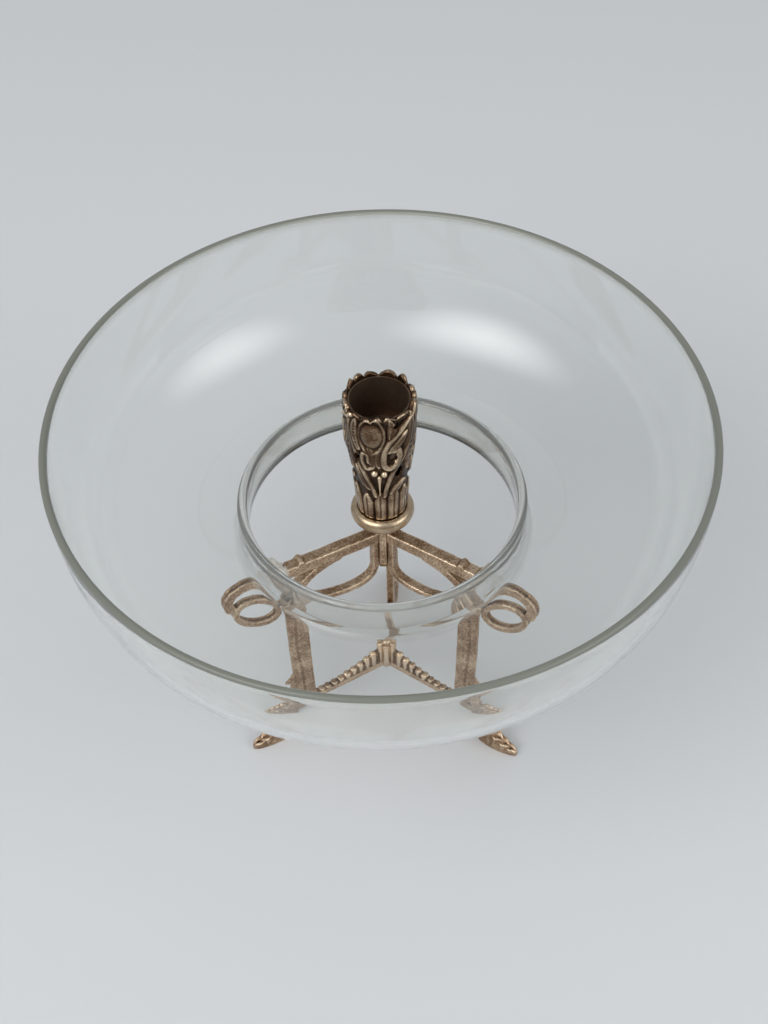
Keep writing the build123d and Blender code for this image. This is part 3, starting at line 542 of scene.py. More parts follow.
@dataclass
class GlassBowl:
    """The ring-shaped trough with its rounded rim and its raised inner wall, in millimetres."""

    finishes: Finishes
    rim_radius: float = 127.0
    rim_z: float = 177.0
    wall: float = 3.0
    shoulder: Point = (113.0, 126.8)
    low: Point = (86.0, 111.5)
    seat: Point = (64.0, 114.3)
    bore_radius: float = 53.5
    foot_z: float = 118.5
    foot_slope: Point = (0.93, -0.37)
    lip_slope: Point = (0.03, 1.0)
    foot_round: tuple[Point, ...] = ((0.0, 1.6), (0.25, 0.55))
    foot_end: float = 0.9
    chimney_wall: float = 4.0
    chimney_height: float = 16.2
    corner: float = 2.0
    corner_steps: int = 8
    curve_steps: int = 14
    round_steps: int = 12
    segments: int = 288
    # Where the edges get their tint and painted light.
    rim_tint_and_painted_light: Point = (1.9, 0.9)
    wall_tint_and_painted_light: float = 0.1
    crest_tint_and_painted_light: Triple = (0.35, 3.0, 2.0)
    foot_tint_and_painted_light: Point = (0.4, 2.0)

    def inside(self, outside: Sequence[Point]) -> list[Point]:
        """Follows the outside of the trough at the thickness of the wall, down to the inner wall's foot.

        Args:
            outside: The outside of the section, from the foot to the lip.

        Returns:
            The inside of the section, from the lip to the inner wall.
        """
        outer = self.bore_radius + self.chimney_wall
        line = np.array(outside)
        along = np.gradient(line, axis=0)
        along /= np.linalg.norm(along, axis=1)[:, None]
        offset = line + self.wall * np.column_stack([-along[:, 1], along[:, 0]])
        inside = [(float(r), float(z)) for r, z in offset[::-1] if r > outer + self.corner]
        (far, deep), (near, start) = inside[-2:]
        foot = start + (near - outer) * (start - deep) / (far - near)
        for t in np.arange(1, self.corner_steps + 1) / self.corner_steps:
            r = (1 - t) ** 2 * near + (1 - (1 - t) ** 2) * outer
            z = (1 - t) ** 2 * start + 2 * t * (1 - t) * foot + t**2 * (foot + self.corner)
            inside.append((r, z))
        return inside

    def section(self) -> list[Point]:
        """Draws the glass's section, anticlockwise from the foot of the inner wall.

        Returns:
            Radii and heights.
        """
        half = self.wall / 2
        lip = self.rim_z - half
        knots = [(self.bore_radius, self.foot_z), self.seat, self.low, self.shoulder, (self.rim_radius, lip)]
        outside = clamped_curve(knots, self.foot_slope, self.lip_slope, self.curve_steps)
        rim = arc((self.rim_radius - half, lip), half, 0, 180, self.round_steps)
        round_radius = self.chimney_wall / 2
        top = self.foot_z + self.chimney_height - round_radius
        crest = arc((self.bore_radius + round_radius, top), round_radius, 0, 180, self.round_steps)
        foot = [(self.bore_radius + r, self.foot_z + z) for r, z in self.foot_round]
        belly = [q for q in outside if q[0] > self.bore_radius + self.foot_end]
        return foot + belly + rim[1:] + self.inside(outside)[1:] + crest

    def build(self) -> None:
        """Makes the bowl and marks the edges where the glass shows its grey-green tint, partly painted light
        in place of refracted lines.
        """
        shape = lathe(self.section(), self.segments, closed=True)
        piece = new_object("bowl_glass", shape, self.finishes.glass)
        x, y, z = read(piece, "co").T / MM
        # Painted light: the rim, the crest and the foot of the inner wall get a dull grey-green body in
        # place of their refracted dark and bright lines.
        depth, fade = self.rim_tint_and_painted_light
        rim = np.clip((z - self.rim_z + depth) / fade, 0, 1)
        cast, depth, fade = self.crest_tint_and_painted_light
        top = self.foot_z + self.chimney_height
        inner = self.wall_tint_and_painted_light + cast * np.clip((z - top + depth) / fade, 0, 1)
        cast, fade = self.foot_tint_and_painted_light
        inner += cast * np.clip(1 - np.abs(z - self.foot_z) / fade, 0, 1)
        inner = np.where(np.hypot(x, y) < self.bore_radius + 1.5 * self.chimney_wall, inner, 0)
        store(piece, "edge", np.maximum(rim, inner))
        settle(piece, "bowl", Slot.GLASS, "glass_bowl")


@dataclass
class CastFrames:
    """The sand-cast side frames: arms, braces, volutes and legs, softened from their drawn shapes."""

    finishes: Finishes
    azimuths: Triple = (90.0, 210.0, 330.0)
    weld_gap: float = 0.01
    voxel: float = 0.36
    smoothing: float = 0.5
    rounds: int = 3
    wobble: float = 0.14
    shrink: float = 0.4
    shaft_z: Point = (16.0, 89.0)
    shaft_fade: float = 3.0
    crease_reach: float = 42.2
    crease_sway: float = 0.5
    crease_wave: float = 8.0
    crease_width: float = 0.8
    crease_depth: float = 0.42
    # Painted shade along a leg's crease.
    crease_painted_shade: float = 0.08
    bevel_width: float = 3.6
    bevel_slide: float = 0.7
    toe_start: float = 52.0
    toe_fade: float = 4.0
    sole_z: float = 1.5
    sole_fade: float = 2.5
    vein_depth: float = 0.26
    vein_pace: float = 1.9
    vein_slant: float = 0.9
    midrib_depth: float = 0.4
    midrib_width: float = 0.6
    band_depth: float = 0.3
    band_width: float = 0.7
    # Gain of rubbed edges with painted highlights and of painted shade in recesses.
    edge_wear_and_light: float = 3.0
    waxed_arm: int = 2
    wax_start: float = 41.0
    wax_fade: float = 4.0

    def soften(self, node: str, change: Shift | None = None) -> bpy.types.Object:
        """Copies a drawn shape and gives it the soft edges and unevenness of a casting.

        Args:
            node: The CAD node to copy.
            change: Optional extra shift of the points, from places and normals in metres.

        Returns:
            The cast piece.
        """
        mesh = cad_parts[node].data.copy()
        mesh.materials.clear()
        mesh.materials.append(self.finishes.aged)
        piece = bpy.data.objects.new(f"cast_{node}", mesh)
        bpy.context.scene.collection.objects.link(piece)
        weld = piece.modifiers.new("weld", "WELD")
        weld.merge_threshold = self.weld_gap * MM
        remesh = piece.modifiers.new("cast", "REMESH")
        remesh.mode = "VOXEL"
        remesh.voxel_size = self.voxel * MM
        remesh.use_smooth_shade = True
        smooth = piece.modifiers.new("soften", "SMOOTH")
        smooth.factor = self.smoothing
        smooth.iterations = self.rounds
        solid_mesh(piece)
        self.roughen(piece, change)
        return piece

    def roughen(self, piece: bpy.types.Object, change: Shift | None) -> None:
        """Moves the points a little, as a hand-finished casting is uneven, and keeps them above the floor.

        Args:
            piece: The remeshed piece.
            change: Optional extra shift.
        """
        place = read(piece, "co")
        facing = read(piece, "normal")
        x, y, z = (place / MM).T
        # Each wave runs along one axis and is bent by a slower one along another, so none repeats in sight.
        waves = ((x, 0.55, z, 0.31, 0.9), (y, 0.61, x, 0.27, 1.3), (z, 0.47, y, 0.37, 0.8))
        bent = [np.sin(pace * u + sway * np.sin(slow * v)) for u, pace, v, slow, sway in waves]
        wave = sum(bent) / len(waves)
        place = place + facing * (self.wobble * MM * (wave[:, None] - self.shrink))
        if change is not None:
            place = place + change(place, facing)
        place[:, 2] = np.maximum(place[:, 2], 0.0)
        piece.data.vertices.foreach_set("co", place.ravel())
        piece.data.update()

    def shaft(self, z: np.ndarray) -> np.ndarray:
        """Which heights belong to a leg's shaft, from 0 to 1."""
        low, high = self.shaft_z
        return np.clip((z - low) / self.shaft_fade, 0, 1) * np.clip((high - z) / self.shaft_fade, 0, 1)

    def crease_line(self, z: np.ndarray) -> np.ndarray:
        """How far from the candle axis the wavering crease of a leg runs."""
        return self.crease_reach + self.crease_sway * np.sin(z / self.crease_wave)

    def crease(self, reach: np.ndarray, z: np.ndarray) -> np.ndarray:
        """How near each point lies to the crease down a leg's shaft, from 0 to 1."""
        return np.exp(-(((reach - self.crease_line(z)) / self.crease_width) ** 2)) * self.shaft(z)

    def band_shift(self, azimuth: float) -> Shift:
        """Makes the shift that sinks a groove along a volute's bands.

        Args:
            azimuth: Where the volute stands, in degrees.

        Returns:
            A function from places and normals to shifts, in metres.
        """
        a = math.radians(azimuth)
        side = np.array((-math.sin(a), math.cos(a), 0))

        def shift(place: np.ndarray, facing: np.ndarray) -> np.ndarray:
            """Works out the shift of each point.

            Args:
                place: Places, in metres.
                facing: Normals.

            Returns:
                Shifts, in metres.
            """
            across = place @ side / MM
            level = np.clip(1 - np.abs(facing @ side), 0, 1)
            groove = -self.band_depth * np.exp(-((across / self.band_width) ** 2)) * level
            return MM * facing * groove[:, None]

        return shift

    def leg_shift(self, azimuth: float) -> Shift:
        """Makes the shift that creases a leg, bevels its outer edge and veins its toe.

        Args:
            azimuth: Where the leg stands, in degrees.

        Returns:
            A function from places and normals to shifts, in metres.
        """
        a = math.radians(azimuth)
        out = np.array((math.cos(a), math.sin(a), 0))
        side = np.array((-math.sin(a), math.cos(a), 0))

        def shift(place: np.ndarray, facing: np.ndarray) -> np.ndarray:
            """Works out the shift of each point.

            Args:
                place: Places, in metres.
                facing: Normals.

            Returns:
                Shifts, in metres.
            """
            reach = place @ out / MM
            across = place @ side / MM
            z = place[:, 2] / MM
            bevel = np.clip((reach - self.crease_line(z)) / self.bevel_width, 0, 1) * self.shaft(z)
            toe = np.clip((reach - self.toe_start) / self.toe_fade, 0, 1)
            toe *= np.clip((z - self.sole_z) / self.sole_fade, 0, 1)
            groove = -self.crease_depth * self.crease(reach, z)
            vein = self.vein_depth * np.sin(self.vein_pace * (reach + self.vein_slant * np.abs(across)))
            vein -= self.midrib_depth * np.exp(-((across / self.midrib_width) ** 2))
            slide = np.outer(-self.bevel_slide * bevel * across, side)
            return MM * (slide + facing * (vein * toe + groove)[:, None])

        return shift

    def build(self) -> None:
        """Makes and dresses every cast piece."""
        shifts = {Cast.VOLUTE: self.band_shift, Cast.LEG: self.leg_shift}
        for number, azimuth in enumerate(self.azimuths, start=1):
            for kind in Cast:
                node = f"{kind.value}_{number}"
                piece = self.soften(node, shifts[kind](azimuth) if kind in shifts else None)
                x, y, z = read(piece, "co").T / MM
                reach = np.hypot(x, y)
                # A leg's crease gets painted shade; the measure paints highlights on edges and shade in
                # recesses.
                crease_shade_lift = -self.crease_painted_shade * self.crease(reach, z) if kind is Cast.LEG else 0.0
                fit_wear_and_painted_light(piece, self.edge_wear_and_light, lift=crease_shade_lift)
                if kind is Cast.ARM and number == self.waxed_arm:
                    store(piece, "wax", np.clip((reach - self.wax_start) / self.wax_fade, 0, 1))
                settle(piece, STAND, Slot.AGED, node)
        for node in ("hub_post", "leg_rivets"):
            piece = self.soften(node)
            # Edges get painted highlights and recesses painted shade.
            fit_wear_and_painted_light(piece, self.edge_wear_and_light)
            settle(piece, STAND, Slot.AGED, node)


@dataclass(frozen=True)
class Stroke:
    """A raised stem or leaf on the sleeve: its path in degrees and heights, the rest in millimetres."""

    path: tuple[Point, ...]
    start: float
    end: float
    height: float
    leaf: bool = False
    steps: int = 5
    leaf_foot: float = 0.12
    leaf_span: float = 0.86
    leaf_swell: float = 0.8
    leaf_least: float = 0.05
    vein_depth: float = 0.4
    vein_width: float = 0.2

    def line(self, scale: float) -> np.ndarray:
        """Follows the path as a smooth line.

        Args:
            scale: Millimetres to a degree round the sleeve.

        Returns:
            Points along the line, in millimetres round the sleeve and in height.
        """
        knots = np.array(self.path) * (scale, 1.0)
        padded = np.vstack([2 * knots[0] - knots[1], knots, 2 * knots[-1] - knots[-2]])
        line = []
        for k in range(1, len(padded) - 2):
            a, b, c, d = padded[k - 1:k + 3]
            for t in np.arange(self.steps) / self.steps:
                bend = (2 * a - 5 * b + 4 * c - d) * t**2 + (3 * b - a - 3 * c + d) * t**3
                line.append(0.5 * (2 * b + (c - a) * t + bend))
        return np.array(line + [knots[-1]])

    def body(self, gap: np.ndarray, share: np.ndarray) -> np.ndarray:
        """Gives the stroke its round back; a leaf swells, runs out to a point and has a sunken vein.

        Args:
            gap: Distance from the line.
            share: How far along the line, from 0 to 1.

        Returns:
            The height as a share of the stroke's own.
        """
        half = self.start + (self.end - self.start) * share
        if self.leaf:
            swell = np.sin(math.pi * (self.leaf_foot + self.leaf_span * share)) ** self.leaf_swell
            half = self.start * swell + self.leaf_least
        body = np.sqrt(np.clip(1 - (gap / half) ** 2, 0, 1))
        if self.leaf:
            body = body - self.vein_depth * body * np.exp(-((gap / (self.vein_width * half)) ** 2))
        return body

    def lift(self, x: np.ndarray, z: np.ndarray, scale: float) -> np.ndarray:
        """Works out how far the stroke stands proud at each place.

        Args:
            x: Distance round the sleeve, in millimetres.
            z: Height.
            scale: Millimetres to a degree round the sleeve.

        Returns:
            The lift, zero off the stroke.
        """
        line = self.line(scale)
        best = np.zeros_like(x)
        for k, (a, b) in enumerate(zip(line, line[1:])):
            step = b - a
            t = np.clip(((x - a[0]) * step[0] + (z - a[1]) * step[1]) / (step @ step), 0, 1)
            gap = np.hypot(x - a[0] - t * step[0], z - a[1] - t * step[1])
            best = np.maximum(best, self.body(gap, (k + t) / (len(line) - 1)))
        return self.height * best


@dataclass
class SleeveRelief:
    """The leaf ornament of the candle socket, in millimetres and degrees; one repeat is drawn and turned."""

    repeats: int = 3
    columns: int = 300
    low_rows: int = 84
    high_rows: int = 60
    mean_radius: float = 12.2
    heights: tuple[float, ...] = (123.4, 129.9, 139.0, 149.8, 158.0, 166.3, 176.0, 190.3)
    radii: tuple[float, ...] = (9.6, 9.6, 10.2, 10.9, 11.9, 12.9, 13.3, 13.5)
    hollow_radii: Point = (8.2, 9.6)
    sink: float = 0.55
    foot_z: float = 129.9
    foot_fade: float = 0.5
    rim_z: float = 190.3
    seat_z: float = 166.3
    foot_step: float = 0.4
    seat_step: float = 0.05
    bore_radius: float = 12.02
    ragged_from: float = 179.0
    rim_lobes: int = 15
    rim_depth: float = 3.4
    lobe_height: float = 0.9
    lobe_from: float = 184.0
    lobe_fade: float = 4.0
    flutes: int = 12
    flute_top: float = 147.0
    flute_waver: float = 2.0
    flute_squeeze: float = 0.84
    flute_half: float = 2.5
    flute_taper: float = 5.0
    flute_least: float = 1e-3
    flute_height: float = 1.1
    flute_vein: Point = (0.22, 0.45)
    bud: tuple[float, float, float, float, float] = (-11.0, 181.0, 4.6, 7.2, 1.7)
    beads: tuple[Point, ...] = ((-9.0, 159.0), (9.0, 158.6))
    bead_radius: float = 1.45
    bead_height: float = 1.7
    holes: tuple[tuple[float, float, float, float], ...] = (
        (26.0, 167.6, 1.3, 2.0), (41.0, 157.0, 2.0, 3.4), (-40.0, 166.0, 1.5, 2.7), (30.0, 185.2, 1.2, 1.7))
    strokes: tuple[Stroke, ...] = (
        Stroke(((-9, 145), (-16, 150), (-30, 158), (-42, 168), (-52, 179), (-56, 186)), 1.3, 1.1, 1.2),
        Stroke(((9, 145), (15, 151), (26, 159.5), (45, 167), (60, 175), (66, 183)), 1.3, 1.1, 1.2),
        Stroke(((72, 189), (50, 184.5), (30, 180), (16, 176), (8, 170), (9, 164.5), (18, 162), (29, 163.5),
                (36, 168), (32, 172), (26, 172)), 1.3, 1.6, 1.5),
        Stroke(((2, 173), (9, 180), (4, 187.5), (-10, 190.5), (-27, 187), (-32, 179), (-24, 172.5),
                (-11, 171), (2, 173)), 0.9, 0.9, 1.0),
        Stroke(((-12, 163), (-22, 161.5), (-29, 165), (-27, 170), (-19, 170), (-18, 166)), 1.2, 0.9, 1.2),
        Stroke(((0, 156.4), (0, 146)), 1.0, 0.35, 1.4),
        Stroke(((-15, 174), (-13, 168), (-10, 162.5)), 2.6, 0.2, 1.0, leaf=True),
        Stroke(((-1, 172), (-2, 167.5), (0, 162.5)), 1.9, 0.2, 1.1, leaf=True),
        Stroke(((18, 172), (34, 176), (50, 180)), 2.5, 0.2, 1.5, leaf=True),
        Stroke(((-22, 149), (-34, 153), (-46, 161)), 2.3, 0.2, 1.2, leaf=True),
        Stroke(((24, 146), (40, 149), (56, 151.5)), 2.2, 0.2, 1.1, leaf=True),
        Stroke(((60, 158), (61, 172), (60, 190)), 3.4, 0.3, 1.2, leaf=True),
        Stroke(((-36, 172), (-42, 180), (-38, 189)), 2.4, 0.2, 1.3, leaf=True),
        Stroke(((20, 179), (24, 184), (18, 190)), 2.2, 0.2, 1.2, leaf=True),
    )
    blur_rounds: int = 12
    blur_own: float = 0.4
    blur_share: float = 0.15
    # Painted light on the relief: proud edges and raised parts lighter with painted highlights besides their
    # wear, the ground and the inner skin darker with painted shade, the rim rubbed lighter, and the flutes
    # lighter.
    edge_wear_and_light: float = 1.8
    height_wear_and_highlight: Triple = (0.35, 1.25, 1.45)
    rim_wear: Triple = (0.5, 1.5, 1.2)
    flute_lightening: Point = (0.16, 4.0)
    ground_painted_shade: float = -0.4
    inner_painted_shade: float = -0.2

    @property
    def scale(self) -> float:
        """Millimetres to a degree round the sleeve."""
        return math.radians(1) * self.mean_radius

    def within(self, azimuth: np.ndarray) -> np.ndarray:
        """Turns azimuths into degrees from the middle of the nearest repeat."""
        turn = 360 / self.repeats
        return (azimuth + turn / 2) % turn - turn / 2

    def grid(self) -> tuple[np.ndarray, np.ndarray]:
        """Lays a grid of cells over the whole sleeve.

        Returns:
            Azimuths in degrees and nominal heights, as two arrays.
        """
        low = np.linspace(self.foot_z + self.foot_step, self.seat_z - self.seat_step, self.low_rows)
        high = np.linspace(self.seat_z, self.rim_z, self.high_rows)
        rows = np.concatenate([[self.heights[0], self.foot_z], low, high])
        return np.meshgrid(np.arange(self.columns) * 360 / self.columns, rows)

    def ornament(self, azimuth: np.ndarray, z: np.ndarray) -> np.ndarray:
        """Raises the stems, leaves, buds and beads.

        Args:
            azimuth: Degrees from the middle of a repeat.
            z: Heights.

        Returns:
            The lift at each place.
        """
        turn = 360 / self.repeats
        spot, level, wide, tall, height = self.bud
        total = np.zeros_like(z)
        for wrap in (-turn, 0.0, turn):
            x = (self.within(azimuth) + wrap) * self.scale
            for stroke in self.strokes:
                total = np.maximum(total, stroke.lift(x, z, self.scale))
            dome = 1 - ((x - spot * self.scale) / wide) ** 2 - ((z - level) / tall) ** 2
            total = np.maximum(total, height * np.sqrt(np.clip(dome, 0, 1)))
            for a, h in self.beads:
                dome = 1 - ((x - a * self.scale) ** 2 + (z - h) ** 2) / self.bead_radius**2
                total = np.maximum(total, self.bead_height * np.sqrt(np.clip(dome, 0, 1)))
        return total

    def tongues(self, azimuth: np.ndarray, z: np.ndarray) -> np.ndarray:
        """Raises the tongue-shaped flutes round the foot.

        Args:
            azimuth: Degrees from the middle of a repeat.
            z: Heights.

        Returns:
            The lift at each place.
        """
        step = 360 / self.flutes
        x = ((azimuth + step / 2) % step - step / 2) * self.scale * self.flute_squeeze
        top = self.flute_top + self.flute_waver * np.sin(np.radians(azimuth) * self.repeats)
        half = self.flute_half * np.sqrt(np.clip((top - z) / self.flute_taper, 0, 1)) + self.flute_least
        depth, width = self.flute_vein
        tongue = np.sqrt(np.clip(1 - (x / half) ** 2, 0, 1)) - depth * np.exp(-((x / width) ** 2))
        return self.flute_height * tongue * (z < top)

    def lobes(self, azimuth: np.ndarray) -> np.ndarray:
        """Cuts the uneven leaf tips round the rim.

        Args:
            azimuth: Degrees from the middle of a repeat.

        Returns:
            From 0 between two tips to 1 on a tall one.
        """
        a = np.radians(azimuth)
        # The tips' spacing wavers three times round, and their height five and eleven times.
        tips = np.abs(np.cos(self.rim_lobes / 2 * a + 0.7 * np.sin(3 * a + 0.5)))
        return np.sqrt(tips) * (0.7 + 0.22 * np.sin(5 * a + 1.0) + 0.08 * np.sin(11 * a))

    def lift(self, azimuth: np.ndarray, z: np.ndarray) -> np.ndarray:
        """Works out the height of the relief over the ground of the sleeve.

        Args:
            azimuth: Degrees from the middle of a repeat.
            z: Heights.

        Returns:
            The lift at each place.
        """
        total = np.maximum(self.ornament(azimuth, z), self.tongues(azimuth, z))
        tips = np.clip((z - self.lobe_from) / self.lobe_fade, 0, 1)
        total = np.maximum(total, self.lobe_height * self.lobes(azimuth) * tips)
        return total * np.clip((z - self.foot_z) / self.foot_fade, 0, 1)

    def wear_and_painted_light(self, rows: np.ndarray, lift: np.ndarray) -> np.ndarray:
        """Works out where the relief is rubbed bright, with painted highlights, and where it stays dark,
        with painted shade.

        Args:
            rows: Nominal heights of the grid.
            lift: The relief on the grid.

        Returns:
            The wear and painted light on the grid.
        """
        blur = lift.copy()
        for _ in range(self.blur_rounds):
            sides = np.roll(blur, 1, 1) + np.roll(blur, -1, 1)
            ends = np.vstack([blur[:1], blur[:-1]]) + np.vstack([blur[1:], blur[-1:]])
            blur = self.blur_own * blur + self.blur_share * sides + self.blur_share * ends
        # Proud edges and raised parts get painted highlights, hollows painted shade.
        gain, cap, zero = self.height_wear_and_highlight
        wear_and_painted_light = self.edge_wear_and_light * (lift - blur) + gain * (np.minimum(lift, cap) - zero)
        gain, depth, fade = self.rim_wear
        wear_and_painted_light += gain * np.clip((rows - self.rim_z + depth) / fade, 0, 1)
        # The flutes are made lighter.
        gain, fade = self.flute_lightening
        wear_and_painted_light += gain * np.clip((self.flute_top - rows) / fade, 0, 1)
        return np.clip(wear_and_painted_light, self.ground_painted_shade, FULL_WEAR_AND_PAINTED_LIGHT)

    def pierced(self, azimuth: np.ndarray, z: np.ndarray) -> np.ndarray:
        """Finds the piercings between the leaves.

        Args:
            azimuth: Degrees from the middle of a repeat.
            z: Heights.

        Returns:
            The smallest oval measure, under 1 inside a piercing.
        """
        nearest = np.full_like(z, np.inf)
        for a, h, wide, tall in self.holes:
            oval = ((self.within(azimuth) - a) * self.scale / wide) ** 2 + ((z - h) / tall) ** 2
            nearest = np.minimum(nearest, oval)
        return nearest

    def build(self, first: float) -> tuple[Shape, np.ndarray]:
        """Makes the pierced shell.

        Args:
            first: Azimuth of the middle of a repeat, in degrees.

        Returns:
            The shape in metres, and its wear and painted light at each point.
        """
        azimuth, rows = self.grid()
        local = azimuth - first
        lift = self.lift(local, rows)
        ragged = np.clip((rows - self.ragged_from) / (self.rim_z - self.ragged_from), 0, 1) ** 2
        z = rows - ragged * self.rim_depth * (1 - self.lobes(local))
        outer = np.interp(rows, self.heights, self.radii) - self.sink * (rows > self.foot_z) + lift
        hollow = np.interp(rows, (self.heights[0], self.seat_z), self.hollow_radii)
        inner = np.where(rows >= self.seat_z, self.bore_radius, hollow)
        a = np.radians(azimuth)
        verts: list[Triple] = []
        for r in (outer, inner):
            verts += list(zip((r * np.cos(a) * MM).ravel(), (r * np.sin(a) * MM).ravel(), (z * MM).ravel()))
        middles = np.vstack([(rows[:-1] + rows[1:]) / 2, rows[-1:]])
        kept = self.pierced(local + 180 / self.columns, middles) > 1
        kept[-1] = False
        # The inner skin gets painted shade.
        wear_and_painted_light = np.concatenate([self.wear_and_painted_light(rows, lift).ravel(), np.full(rows.size, self.inner_painted_shade)])
        return (verts, self.shell(kept)), wear_and_painted_light

    def shell(self, kept: np.ndarray) -> list[tuple[int, ...]]:
        """Joins the two skins of the sleeve, with a wall round every piercing and along both ends.

        Args:
            kept: Which cells of the grid are metal; the last row is above the rim.

        Returns:
            The faces.
        """
        rows, columns = kept.shape
        inside = rows * columns
        faces: list[tuple[int, ...]] = []
        for j in range(rows - 1):
            for i in range(columns):
                if not kept[j, i]:
                    continue
                n = (i + 1) % columns
                a = j * columns + i
                b = j * columns + n
                c = b + columns
                d = a + columns
                faces += [(a, b, c, d), (inside + d, inside + c, inside + b, inside + a)]
                below = j > 0 and kept[j - 1, i]
                sides = ((kept[j, n], b, c), (kept[j, i - 1], d, a), (kept[j + 1, i], c, d), (below, a, b))
                faces += [(p, inside + p, inside + q, q) for metal, p, q in sides if not metal]
        return faces


@dataclass
class CandleSocket:
    """The flared sleeve of leaf ornament, its liner cup and the collar ring, in millimetres."""

    finishes: Finishes
    relief: SleeveRelief = field(default_factory=SleeveRelief)
    front: float = 270.0
    floor_z: Point = (123.45, 126.4)
    floor_radii: Point = (1.75, 8.3)
    floor_segments: int = 64
    liner_radius: float = 11.8
    liner_bore: float = 11.2
    liner_seat_z: float = 166.3
    liner_top_z: float = 187.5
    liner_floor: float = 1.2
    liner_segments: int = 128
    collar_seat_z: float = 123.4
    collar_height: float = 6.2
    collar_bore: float = 9.8
    collar_core: float = 10.2
    collar_bulge: float = 2.5
    collar_steps: int = 17
    collar_segments: int = 160
    sharp: float = math.radians(40)

    def sleeve(self) -> None:
        """Makes the sleeve and the plate that closes it below."""
        shape, wear_and_painted_light = self.relief.build(self.front)
        piece = new_object("socket_sleeve", shape, self.finishes.leafy)
        # The sleeve carries its wear with painted highlights and painted shade.
        store(piece, "wear_and_painted_light", wear_and_painted_light)
        settle(piece, STAND, Slot.AGED, "candle_socket")
        bore, radius = self.floor_radii
        low, top = self.floor_z
        plate = [(bore, low), (radius, low), (radius, top), (bore, top)]
        disc = lathe(plate, self.floor_segments, closed=True)
        floor = new_object("socket_floor", disc, self.finishes.dark)
        floor.data.set_sharp_from_angle(angle=self.sharp)
        settle(floor, STAND, Slot.AGED)

    def liner(self) -> None:
        """Makes the cup that holds the candle."""
        low = self.liner_seat_z
        top = self.liner_top_z
        floor = low + self.liner_floor
        outside = [(0.0, low), (self.liner_radius, low), (self.liner_radius, top)]
        cup = outside + [(self.liner_bore, top), (self.liner_bore, floor), (0.0, floor)]
        piece = new_object("liner_cup", lathe(cup, self.liner_segments, closed=False), self.finishes.dark)
        piece.data.set_sharp_from_angle(angle=self.sharp)
        settle(piece, "liner", Slot.DARK, "socket_liner")

    def collar(self) -> None:
        """Makes the rounded ring under the sleeve."""
        low = self.collar_seat_z
        top = low + self.collar_height
        half = self.collar_height / 2
        turns = np.linspace(-math.pi / 2, math.pi / 2, self.collar_steps)[1:-1]
        middle = low + half
        bulge = [(self.collar_core + self.collar_bulge * math.cos(t), middle + half * math.sin(t))
                 for t in turns]
        band = [(self.collar_bore, low), (self.collar_core, low)] + bulge
        band += [(self.collar_core, top), (self.collar_bore, top)]
        shape = lathe(band, self.collar_segments, closed=True)
        piece = new_object("collar_band", shape, self.finishes.polished)
        settle(piece, STAND, Slot.POLISHED, "collar_ring")

    def build(self) -> None:
        """Makes and dresses the socket, its liner and the collar ring."""
        self.sleeve()
        self.liner()
        self.collar()


